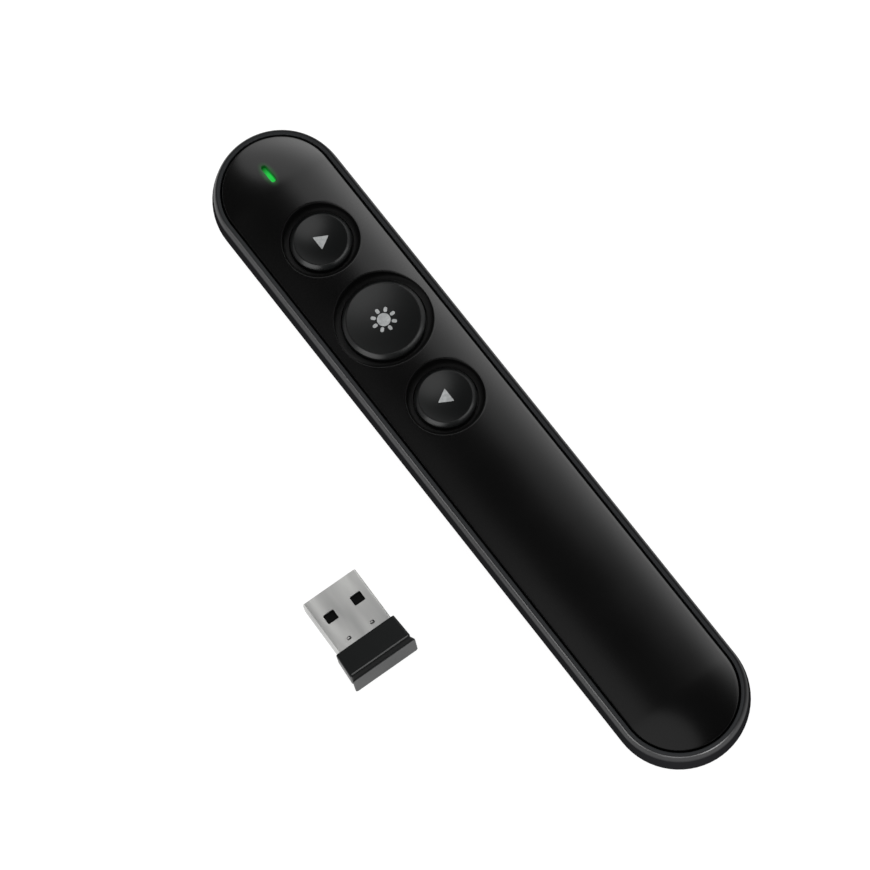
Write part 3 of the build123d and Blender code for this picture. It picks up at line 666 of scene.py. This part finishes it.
# ---- case
def shoulder_profiles(s):
    """Rounded shoulder, lip and hidden back of the band that closes over the upper case's edge.

    The shoulder is a cubic curve from the side, where it lies flush, up to the lip's outer edge.
    """
    side, outer, inner = 13.018 * MM, 12.02 * MM, 11.435 * MM
    low, hidden, top = 10.9 * MM, 12.0 * MM, s.lip + 0.03 * MM
    ends = np.array([(side, low), (side - 0.2 * MM, low + 0.8 * MM),
                     (12.62 * MM, top - 0.08 * MM), (outer, top)])
    t = np.linspace(0, 1, 21)[:, None]
    weights = np.concatenate([(1 - t) ** 3, 3 * t * (1 - t) ** 2, 3 * t ** 2 * (1 - t), t ** 3], 1)
    lip = soften([(outer, top), (inner, top), (inner, hidden)], [0.12 * MM])
    back = np.array([(inner, hidden), (11.7 * MM, hidden), (12.7 * MM, low), (side, low)])
    return (weights @ ends, 0), (lip, 1), (back, 0)


def rounded_copy(node):
    """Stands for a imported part: the same shape, merged, with a small radius on its sharp edges."""
    source = frame["nodes"][node]
    mesh = source.data.copy()
    mesh.materials.clear()

    def merge(work):
        bmesh.ops.remove_doubles(work, verts=work.verts, dist=1e-7)
        bmesh.ops.dissolve_limit(work, angle_limit=radians(0.6), verts=work.verts,
                                 edges=work.edges)
    edit(mesh, merge)
    piece = piece_of(node + "_shell", mesh, ["grained_abs"], source["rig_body"], [node])
    bevelled(piece, 2, 35)
    even = piece.modifiers.new("normals", "WEIGHTED_NORMAL")
    even.weight = 100
    even.keep_sharp = True


class CLICKER_OT_case(bpy.types.Operator):
    """Finishes of the case: satin upper half, grained underside and battery door"""
    bl_idname = "clicker.case"
    bl_label = "Case"

    def execute(self, context):
        dress({"upper_case": "satin_abs"})
        for node in ("lower_case", "battery_door"):
            rounded_copy(node)
        path = outline(np.linspace(-SPINE, SPINE, 90), 96)
        grids = [(carry(profile, path), finish)
                 for profile, finish in shoulder_profiles(context.scene.clicker_sizes)]
        # The lip's finish is painted lighter than the case as a highlight.
        assemble("case_shoulder", grids, ["satin_abs", "lip_abs_painted_highlight"], "case",
                 sharp=60.0)
        return {"FINISHED"}


# ---- keys
def key_dish(s, cap):
    """Reach of a key's hollow, and its height at a distance from the key's axis.

    The hollow is an arc through the key's rim and its depth.
    """
    rim = s.cap_foot + s.band_rise
    reach = cap - s.band_width - 0.06 * MM
    radius = (reach ** 2 + s.dish_depth ** 2) / (2 * s.dish_depth)
    return reach, lambda r: rim - s.dish_depth + radius - np.sqrt(radius ** 2 - r ** 2)


def key_profile(s, cap, foot):
    """Radius and height round a key: hollow, rim, sloping band, skirt, flange, roof and post."""
    reach, hollow = key_dish(s, cap)
    r = np.linspace(0, reach, 25)
    flange = s.flange_top - s.flange_thickness
    roof = s.cap_foot + s.band_rise - s.dish_depth - s.roof
    corners = [(cap, s.cap_foot), (cap, s.flange_top), (cap + s.flange_width, s.flange_top),
               (cap + s.flange_width, flange), (cap - s.skirt, flange), (cap - s.skirt, roof),
               (s.post, roof), (s.post, foot), (0, foot)]
    cuts = [0.16 * MM, 0.12 * MM, 0, 0.1 * MM, 0.1 * MM, 0.1 * MM, 0.1 * MM, 0.2 * MM, 0.1 * MM]
    points = np.concatenate([np.column_stack([r, hollow(r)]), corners])
    return soften(points, [0] * (len(r) - 2) + cuts)


class CLICKER_OT_keys(bpy.types.Operator):
    """The three keys, each with its dished top and sloping band"""
    bl_idname = "clicker.keys"
    bl_label = "Keys"

    def execute(self, context):
        for key, (cap, _) in KEYS.items():
            node = key + "_button"
            profile = key_profile(context.scene.clicker_sizes, cap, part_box(node)[0].z)
            assemble(key + "_cap", [(turned(profile, middle(node)), 0)], ["smooth_abs"],
                     key + "_key", [node])
        return {"FINISHED"}


def printed(centre, turn, edge, hollow, middle_y, height):
    """A printed shape on a key's hollow: rings from its middle out to its edge, over and under.

    edge gives the distance from the shape's middle to its edge along unit directions, before the
    shape is turned; hollow gives the height of the key at a distance from its axis.
    """
    angle = np.linspace(0, 2 * pi, 97)
    far = edge(np.column_stack([np.cos(angle), np.sin(angle)]))
    angle = angle + turn
    rows = []
    soft = 0.03 * MM
    for inset, lift in ((None, height), (3 * soft, height), (soft, height), (0, height * 0.6),
                        (0, -height), (None, -height)):
        reach = 0 * far if inset is None else far - inset
        x, y = centre[0] + reach * np.cos(angle), centre[1] + reach * np.sin(angle)
        rows.append(np.column_stack([x, y, hollow(np.hypot(x, y - middle_y)) + lift]))
    return np.stack(rows)


def triangle_edge(apothem):
    """Distance to a rounded triangle's edge: a power mean of the distances to its three sides."""
    sharpness = 16

    def edge(way):
        angle = np.arctan2(way[:, 1], way[:, 0])
        sides = [np.maximum(np.cos(angle - side), 0) for side in (pi / 3, pi, -pi / 3)]
        return apothem * sum(side ** sharpness for side in sides) ** (-1 / sharpness)
    return edge


class CLICKER_OT_signs(bpy.types.Operator):
    """Printed signs on the keys: two triangles and a sun with eight rays"""
    bl_idname = "clicker.signs"
    bl_label = "Signs"

    def execute(self, context):
        s = context.scene.clicker_sizes
        ray, ray_place = slot_edge(0.17 * MM, 0.34 * MM), 2.02 * MM
        shapes = {"next": [(0.0, 0.0, triangle_edge(s.triangle))],
                  "previous": [(0.0, pi, triangle_edge(s.triangle))],
                  "laser": [(0.0, 0.0, round_edge(s.disc))]
                  + [(ray_place, -pi * i / 4, ray) for i in range(8)]}
        for key, parts in shapes.items():
            y = middle(key + "_button").y
            hollow = key_dish(s, KEYS[key][0])[1]
            grids = [(printed((far * sin(-turn), y + far * cos(turn)), turn, edge, hollow, y,
                              s.sign_height), 0) for far, turn, edge in parts]
            assemble(key + "_sign", grids, ["silver_ink"], key + "_key")
        return {"FINISHED"}


# ---- light, laser and switch
class CLICKER_OT_light(bpy.types.Operator):
    """Indicator light, laser and power switch"""
    bl_idname = "clicker.light"
    bl_label = "Light and laser"

    def execute(self, context):
        dress({"light_guide": "lit_polycarbonate", "status_led": "clear_resin",
               "laser_barrel": "turned_brass", "laser_lens": "optical_acrylic",
               "laser_window": "red_acrylic", "power_switch": "tinned_steel",
               "power_slider": "knob_abs"})
        return {"FINISHED"}


# ---- cells and springs
def coil(wire, place, forward):
    """Wire of a radius carried along a conical helix about Y, square to its line at each point."""
    start, end, turns, rise = 3.2 * MM, 2.2 * MM, 3.5, 3.4 * MM
    share = np.linspace(0, 1, 169)
    angle = 2 * pi * turns * share
    radius = start + (end - start) * share
    line = np.column_stack([radius * np.cos(angle), radius * np.sin(angle), rise * share])
    along = np.gradient(line, axis=0)
    along /= np.linalg.norm(along, axis=1)[:, None]
    outward = np.column_stack([np.cos(angle), np.sin(angle), 0 * angle])
    beside = np.cross(along, outward)
    beside /= np.linalg.norm(beside, axis=1)[:, None]
    outward = np.cross(beside, along)
    ring = np.linspace(0, 2 * pi, 13)[None, :, None]
    tube = line[:, None] + wire * (np.cos(ring) * outward[:, None] + np.sin(ring) * beside[:, None])
    tube = np.concatenate([np.broadcast_to(line[:1, None], tube[:1].shape), tube,
                           np.broadcast_to(line[-1:, None], tube[:1].shape)])
    x, y, z = np.moveaxis(tube, -1, 0)
    return np.stack([x, z, -y] if forward else [x, -z, y], -1) + place


def cell_profile(total):
    """Radius and distance along a cell: rounded can, crimped shoulder and raised contact."""
    r, end, contact = CELL_RADIUS, total - 0.8 * MM, 1.9 * MM
    points = [(0, 0), (r * 0.72, 0), (r * 0.76, 0.15 * MM), (r * 0.9, 0.15 * MM), (r * 0.93, 0),
              (r, 0), (r, end), (r * 0.86, end), (r * 0.82, end - 0.2 * MM),
              (contact, end - 0.2 * MM), (contact, total), (0, total)]
    return soften(points, [MM * cut for cut in (0.1, 0.1, 0.1, 0.1, 0.4, 0.4, 0.1, 0.1, 0.1, 0.3)])


class CLICKER_OT_cells(bpy.types.Operator):
    """The two cells, their springs and contacts"""
    bl_idname = "clicker.cells"
    bl_label = "Cells"

    def execute(self, context):
        wire = 0.3 * MM
        for node, forward in (("cell_left", True), ("cell_right", False)):
            low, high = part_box(node)
            x, z, y = np.moveaxis(turned(cell_profile(high.y - low.y), count=72), -1, 0)
            y = low.y + y if forward else high.y - y
            centre = middle(node)
            grid = np.stack([x + centre.x, y, z + centre.z], -1)
            assemble(node + "_can", [(grid, 0)], ["cell_foil"], "case", [node])
        for node, cell, forward in (("front_spring", "cell_right", False),
                                    ("rear_spring", "cell_left", True)):
            low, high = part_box(node)
            y = low.y + wire if forward else high.y - wire
            place = np.array([middle(cell).x, y, middle(cell).z])
            assemble(node + "_coil", [(coil(wire, place, forward), 0)], ["spring_steel"], "case",
                     [node])
        dress({node + "_contact": "tinned_steel" for node in ("positive", "negative", "bridge")})
        return {"FINISHED"}


class CLICKER_OT_board(bpy.types.Operator):
    """Circuit board, what stands on it, and the screws"""
    bl_idname = "clicker.board"
    bl_label = "Board"

    def execute(self, context):
        dress({"main_board": "solder_mask", "radio_chip": "moulded_epoxy",
               "board_crystal": "tinned_steel", "board_capacitors": "fired_ceramic",
               "chip_antenna": "fired_ceramic", "case_screws": "black_oxide_steel"})
        for key in KEYS:
            dress({key + "_switch": "filled_nylon", key + "_plunger": "ivory_nylon"})
        return {"FINISHED"}


# ---- receiver
# Half width and half height of the cap's rear edge, and how far behind its front its slope ends.
CAP_REAR = (7.05 * MM, 3.3 * MM)
CAP_SLOPE_END = 6.2 * MM
# Windows and slots of the plug in millimetres: place to the side, place behind the plug's tip,
# width and length.
PLUG_CUTS = ((3.05, 5.1, 2.35, 1.95), (2.65, 10.55, 0.9, 0.55))


def receiver_place(r, points):
    """Lays points of the receiver on the surface: turned, and nose down on the plug's tip."""
    lift = CAP_REAR[1] - r.height / 2
    pitch = atan(lift / (r.reach + CAP_SLOPE_END))
    rest = CAP_REAR[1] * cos(pitch) - CAP_SLOPE_END * sin(pitch)
    heading, beside, behind = radians(-1.6), 25.2 * MM, 16.25 * MM
    turn = Matrix.Rotation(heading, 3, "Z") @ Matrix.Rotation(-pitch, 3, "X")
    return points @ np.array(turn).T + np.array([-HALF_WIDTH - beside, -behind, rest])


def corner_arcs(half_width, half_height, corner, count):
    """Quarter circles at the corners of a rectangle of width and height, in walking order."""
    arcs = []
    for quarter, (sx, sz) in enumerate(((1, 1), (-1, 1), (-1, -1), (1, -1))):
        turn = np.linspace(0, pi / 2, count) + quarter * pi / 2
        arcs.append(np.column_stack([sx * (half_width - corner) + corner * np.cos(turn),
                                     sz * (half_height - corner) + corner * np.sin(turn)]))
    return arcs


def rounded_section(half_width, half_height, corner):
    """Closed rounded rectangle of width and height, walked round from its right-hand side."""
    arcs = corner_arcs(half_width, half_height, min(corner, half_width, half_height), 6)
    return np.concatenate([*arcs, arcs[0][:1]])


def shell_section(half_width, half_height, corner, xs):
    """Section of the plug with points at given places across its two wide faces."""
    flat = xs[np.abs(xs) < half_width - corner - HAIR]
    arcs = corner_arcs(half_width, half_height, corner, 5)
    top = np.column_stack([flat[::-1], np.full_like(flat, half_height)])
    low = np.column_stack([flat, np.full_like(flat, -half_height)])
    return np.concatenate([arcs[0], top, *arcs[1:3], low, arcs[3]])


def plug_quads(r):
    """Points and quads of the folded strip's two skins, with its windows and slots cut through.

    Grid lines run along every cut edge; cells inside a cut are dropped, and each border between a
    kept and a dropped cell gets a wall from the outer to the inner skin.
    """
    xs, ys = [0.0], [-r.buried, r.reach]
    for x, back, wide, long in PLUG_CUTS:
        xs += [side * (x + end * wide / 2) * MM for side in (-1, 1) for end in (-1, 1)]
        ys += [r.reach - (back + end * long / 2) * MM for end in (-1, 1)]
    xs, ys = np.array(sorted(xs)), np.array(sorted(ys))
    outer = shell_section(r.width / 2, r.height / 2, r.corner, xs)
    inner = shell_section(r.width / 2 - r.strip, r.height / 2 - r.strip, r.corner - r.strip, xs)
    count = len(outer)
    skins = []
    for section in (outer, inner):
        around = np.broadcast_to(section[None], (len(ys), count, 2))
        along = np.broadcast_to(ys[:, None], (len(ys), count))
        skins.append(np.stack([around[..., 0], along, around[..., 1]], -1))
    centre = (outer + np.roll(outer, -1, 0)) / 2
    row = (ys[:-1] + ys[1:]) / 2
    wide_face = np.abs(np.abs(centre[:, 1]) - r.height / 2) < 1e-6
    kept = np.ones((len(ys) - 1, count), bool)
    for x, back, wide, long in PLUG_CUTS:
        in_x = np.abs(np.abs(centre[:, 0]) - x * MM) < wide * MM / 2
        in_y = np.abs(row - (r.reach - back * MM)) < long * MM / 2
        kept &= ~(in_y[:, None] & (in_x & wide_face)[None])
    index = np.arange(len(ys) * count).reshape(len(ys), count)
    beside = np.roll(index, -1, 1)
    quads = np.stack([index[:-1], beside[:-1], beside[1:], index[1:]], -1)
    shift = len(ys) * count
    padded = np.zeros((len(ys) + 1, count), bool)
    padded[1:-1] = kept
    across = padded[:-1] != padded[1:]
    split = kept != np.roll(kept, 1, 1)
    walls = [np.stack([a, b, b + shift, a + shift], -1)
             for a, b in ((index[across], beside[across]), (index[:-1][split], index[1:][split]))]
    faces = np.concatenate([quads[kept], quads[kept] + shift, *walls])
    return receiver_place(r, np.concatenate(skins).reshape(-1, 3)), faces


def round_corners(mesh, depth, radius):
    """Rounds the corners of the cuts in a sheet: the sharp edges as long as the sheet is thick."""
    near, sharp = depth / 50, radians(80)

    def bend(work):
        corners = [edge for edge in work.edges if abs(edge.calc_length() - depth) < near
                   and len(edge.link_faces) == 2 and edge.calc_face_angle() > sharp]
        bmesh.ops.bevel(work, geom=corners, offset=radius, segments=4, profile=0.5,
                        affect="EDGES")
    edit(mesh, bend)


def tab_grid(r, x, side):
    """Small tongue of the strip left standing in a slot of the plug, above or below."""
    section = rounded_section(0.27 * MM, 0.18 * MM, 0.06 * MM)
    middle_x, middle_y = x - 0.1 * MM, r.reach - 10.46 * MM
    rows = []
    for share, depth in ((0, 0.28), (1, 0.28), (1, 0.08), (0.75, 0.02), (0, 0.02)):
        height = np.full(len(section), side * (r.height / 2 - depth * MM))
        rows.append(np.column_stack([section * share + (middle_x, middle_y), height]))
    return receiver_place(r, np.stack(rows))


class CLICKER_OT_plug(bpy.types.Operator):
    """Plug of the receiver: folded steel shell, insulator and contacts"""
    bl_idname = "clicker.plug"
    bl_label = "Plug"

    def execute(self, context):
        r = context.scene.receiver_sizes
        mesh = closed_mesh("plug_shell", *plug_quads(r))
        round_corners(mesh, r.strip, 0.26 * MM)
        shell = piece_of("plug_shell", mesh, ["nickel_plated_steel"], "receiver",
                         ["receiver_shell"])
        bevelled(shell, 3, 50).harden_normals = True
        slot_x = PLUG_CUTS[1][0] * MM
        tabs = [(tab_grid(r, x, side), 0) for x in (-slot_x, slot_x) for side in (-1, 1)]
        assemble("plug_tabs", tabs, ["nickel_plated_steel"], "receiver")
        dress({"receiver_tongue": "filled_nylon", "receiver_contacts": "gold_plating",
               "receiver_board": "solder_mask", "receiver_chip": "moulded_epoxy"})
        return {"FINISHED"}


class CLICKER_OT_cap(bpy.types.Operator):
    """Cap of the receiver, with its grip edge and bare end face"""
    bl_idname = "clicker.cap"
    bl_label = "Receiver cap"

    def execute(self, context):
        r = context.scene.receiver_sizes
        play, chamfer, soft = 0.05 * MM, 0.08 * MM, r.edge
        floor_y = -r.buried - play
        pocket = (r.width / 2 + play, r.height / 2 + play)
        wide, high = CAP_REAR
        # Each station is a place along the plug and the section's half width and half height.
        stations = [(floor_y, pocket[0] - pocket[1], 0), (floor_y, *pocket), (0, *pocket),
                    (0, 6.6 * MM, 2.65 * MM), (-4.85 * MM, 6.85 * MM, 2.8 * MM),
                    (-5.02 * MM, 6.76 * MM, 2.71 * MM), (-5.12 * MM, 6.67 * MM, 2.61 * MM),
                    (-CAP_SLOPE_END, wide, high), (-r.cap_length + chamfer, wide, high),
                    (-r.cap_length, wide - chamfer, high - chamfer),
                    (-r.cap_length, wide - high, 0)]
        grid = []
        for y, half_width, half_height in soften(
                stations, [0, soft / 2, soft, 0, 0, 0, soft, 0, 0]):
            section = rounded_section(half_width, half_height, 0.5 * MM)
            grid.append(np.column_stack([section[:, 0], np.full(len(section), y), section[:, 1]]))
        assemble("cap_shell", [(receiver_place(r, np.stack(grid)), 0)], ["cap_abs"], "receiver",
                 ["receiver_cap"], 24.0)
        return {"FINISHED"}


# ---- stage
def rays(tree, *kinds):
    """1 for light rays of the given kinds, 0 for the others."""
    path = add(tree, "ShaderNodeLightPath")
    share, *others = (path.outputs["Is " + kind + " Ray"] for kind in kinds)
    for other in others:
        share = add(tree, "ShaderNodeMath", {0: share, 1: other}, operation="MAXIMUM")
    return share


def make_world(scene):
    """Plain studio light; gloss meets a white horizon, a dark ceiling and a wall on the right.

    The wall's light is the square of a ray's lean towards it, up to its brightest, and fades out
    towards the horizon. Rays of gloss and through glass meet that, camera rays plain white.
    """
    wall_way, gain, brightest, plain = (0.706, 0.231, -0.669), 15.6, 3.4, 0.8
    world = scene.world = bpy.data.worlds.new("studio")
    world.use_nodes = True
    tree = world.node_tree
    way = add(tree, "ShaderNodeTexCoord").outputs["Generated"]
    height = add(tree, "ShaderNodeSeparateXYZ", Vector=way).outputs["Z"]
    horizon, above = (
        add(tree, "ShaderNodeMapRange", Value=height, interpolation_type="SMOOTHSTEP",
            From_Min=start, From_Max=end, To_Min=first, To_Max=last)
        for start, end, first, last in ((0.06, 0.30, 1.0, 0.012), (0.25, 0.50, 0.0, 1.0)))
    lean = add(tree, "ShaderNodeVectorMath", {0: way, 1: wall_way}, operation="DOT_PRODUCT")
    lean = add(tree, "ShaderNodeMapRange", Value=lean.outputs["Value"], From_Min=-0.166,
               From_Max=0.834)
    light = lean
    for operation, second in (("MULTIPLY", lean), ("MULTIPLY", gain), ("MINIMUM", brightest),
                              ("MULTIPLY", above), ("MAXIMUM", horizon)):
        light = add(tree, "ShaderNodeMath", {0: light, 1: second}, operation=operation)
    gloss = add(tree, "ShaderNodeMix", {2: plain, 3: light},
                Factor=rays(tree, "Glossy", "Transmission"))
    strength = add(tree, "ShaderNodeMix", {2: gloss, 3: 1.0}, Factor=rays(tree, "Camera"))
    feed(tree.nodes["Background"], {"Strength": strength, "Color": (1, 1, 1, 1)})


def make_floor():
    """White floor: matt, with light of its own where it is seen, so it keeps a soft shadow."""
    surface = material("white_floor", "#9a9a9a", 0.9, Specular_IOR_Level=0.0,
                       Emission_Color=(1, 1, 1, 1))
    tree, own, half, low = surface.id_data, 0.87, 1.5, 0.02 * MM
    light = add(tree, "ShaderNodeMath", {0: rays(tree, "Camera", "Glossy", "Transmission"), 1: own},
                operation="MULTIPLY")
    feed(surface, {"Emission Strength": light})
    corners = np.array([(-1, -1, -1), (1, -1, -1), (1, 1, -1), (-1, 1, -1)]) * (half, half, low)
    mesh = bpy.data.meshes.new("floor")
    mesh.from_pydata(corners.tolist(), [], [range(4)])
    mesh.materials.append(FINISH["white_floor"])
    piece = bpy.data.objects.new("floor", mesh)
    bpy.context.scene.collection.objects.link(piece)


# The pieces that each group of soft boxes lights.
LIT = {
    "plate": ["cover_plate"],
    "keys": [key + part for key in KEYS for part in ("_cap", "_sign")],
    "case": ["upper_case", "case_shoulder", "lower_case_shell", "battery_door_shell"],
    "metal": ["plug_shell", "plug_tabs"],
    "cap": ["cap_shell"],
}
# Each soft box: its direction, the angle from its middle to its edge in degrees, how bright its
# face is, and the group that it lights.
LAMPS = {
    "plate_box": ((0.425, 0.676, 0.602), 28.7, 1.2, "plate"),
    "plate_glow": ((-0.522, -0.308, 0.795), 30.8, 0.53, "plate"),
    "key_box": ((0.15, -0.16, 0.975), 21.0, 2.8, "keys"),
    "edge_box": ((0.45, -0.87, 0.20), 28.0, 4.0, "keys"),
    "band_box": ((-0.90, -0.36, 0.20), 24.0, 5.0, "keys"),
    "left_box": ((-0.95, 0.0, 0.27), 17.0, 13.0, "case"),
    "corner_box": ((-0.66, -0.68, 0.28), 15.0, 13.0, "case"),
    "rear_box": ((0.0, -0.95, 0.30), 17.0, 21.0, "case"),
    "steel_box": ((-0.80, 0.26, 0.45), 32.0, 1.2, "metal"),
    "cap_box": ((0.14, -0.73, 0.67), 22.0, 10.0, "cap"),
    "metal_box": ((0.10, 0.33, 0.94), 19.0, 1.15, "metal"),
}


def make_lamps():
    """Round soft boxes 3 m away, unseen by the camera, each for its own group of pieces."""
    far = 3.0
    pieces = frame["nodes"] | {piece.name: piece for piece in bpy.data.objects}
    for name, (direction, spread, radiance, group) in LAMPS.items():
        lamp = bpy.data.lights.new(name, "AREA")
        lamp.shape = "DISK"
        lamp.size = 2 * far * tan(radians(spread))
        lamp.energy = radiance * pi ** 2 * lamp.size ** 2 / 4
        box = bpy.data.objects.new(name, lamp)
        way = Vector(direction).normalized()
        box.location = far * way
        box.rotation_euler = way.to_track_quat("Z", "Y").to_euler()
        box.visible_camera = False
        bpy.context.scene.collection.objects.link(box)
        reach = box.light_linking.receiver_collection = bpy.data.collections.new(name + "_reach")
        for piece in LIT[group]:
            reach.objects.link(pieces[piece])


def make_camera(scene):
    """Camera nearly overhead, turned a little about its own axis."""
    frame_pixels, focal_pixels, sensor, far = 870, 4582.12, 36.0, 871.85
    back = Vector((-0.13769, -0.25792, 0.95630))
    right = Vector((0.7984, -0.6004, -0.0470)).normalized()
    target = Vector((-3.807, 8.645, -0.6)) * MM
    lens = bpy.data.cameras.new("camera")
    lens.sensor_width = sensor
    lens.lens = sensor * focal_pixels / frame_pixels
    camera = scene.camera = bpy.data.objects.new("camera", lens)
    turn = Matrix((right, back.cross(right), back)).transposed().to_4x4()
    camera.matrix_world = Matrix.Translation(target + back * far * MM) @ turn
    scene.collection.objects.link(camera)


class CLICKER_OT_stage(bpy.types.Operator):
    """White floor, studio light and camera"""
    bl_idname = "clicker.stage"
    bl_label = "Stage"

    def execute(self, context):
        make_floor()
        make_world(context.scene)
        make_lamps()
        make_camera(context.scene)
        context.scene.view_settings.view_transform = "Standard"
        return {"FINISHED"}


class CLICKER_PT_panel(bpy.types.Panel):
    """Sidebar panel with the steps in their order"""
    bl_idname = "CLICKER_PT_panel"
    bl_label = "Presentation clicker"
    bl_space_type = "VIEW_3D"
    bl_region_type = "UI"
    bl_category = "Clicker"

    def draw(self, context):
        for step in STEPS:
            self.layout.operator("clicker." + step)


GROUPS = {"clicker_sizes": ClickerSizes, "receiver_sizes": ReceiverSizes,
          "finish_colours": FinishColours}
STEPS = ("case", "plate", "keys", "signs", "light", "cells", "board", "plug", "cap", "stage")
CLASSES = (*GROUPS.values(), CLICKER_OT_case, CLICKER_OT_plate, CLICKER_OT_keys, CLICKER_OT_signs,
           CLICKER_OT_light, CLICKER_OT_cells, CLICKER_OT_board, CLICKER_OT_plug, CLICKER_OT_cap,
           CLICKER_OT_stage, CLICKER_PT_panel)


def register():
    """Registers the classes and hangs the settings on the scene."""
    for kind in CLASSES:
        bpy.utils.register_class(kind)
    for name, group in GROUPS.items():
        setattr(bpy.types.Scene, name, bpy.props.PointerProperty(type=group))


def unregister():
    """Takes the settings and classes away again."""
    for name in GROUPS:
        delattr(bpy.types.Scene, name)
    for kind in reversed(CLASSES):
        bpy.utils.unregister_class(kind)


def main():
    """Registers the classes and builds every piece."""
    register()
    make_finishes(bpy.context.scene.finish_colours)
    for step in STEPS:
        getattr(bpy.ops.clicker, step)()
    bpy.context.view_layer.update()


if __name__ == "__main__":
    main()
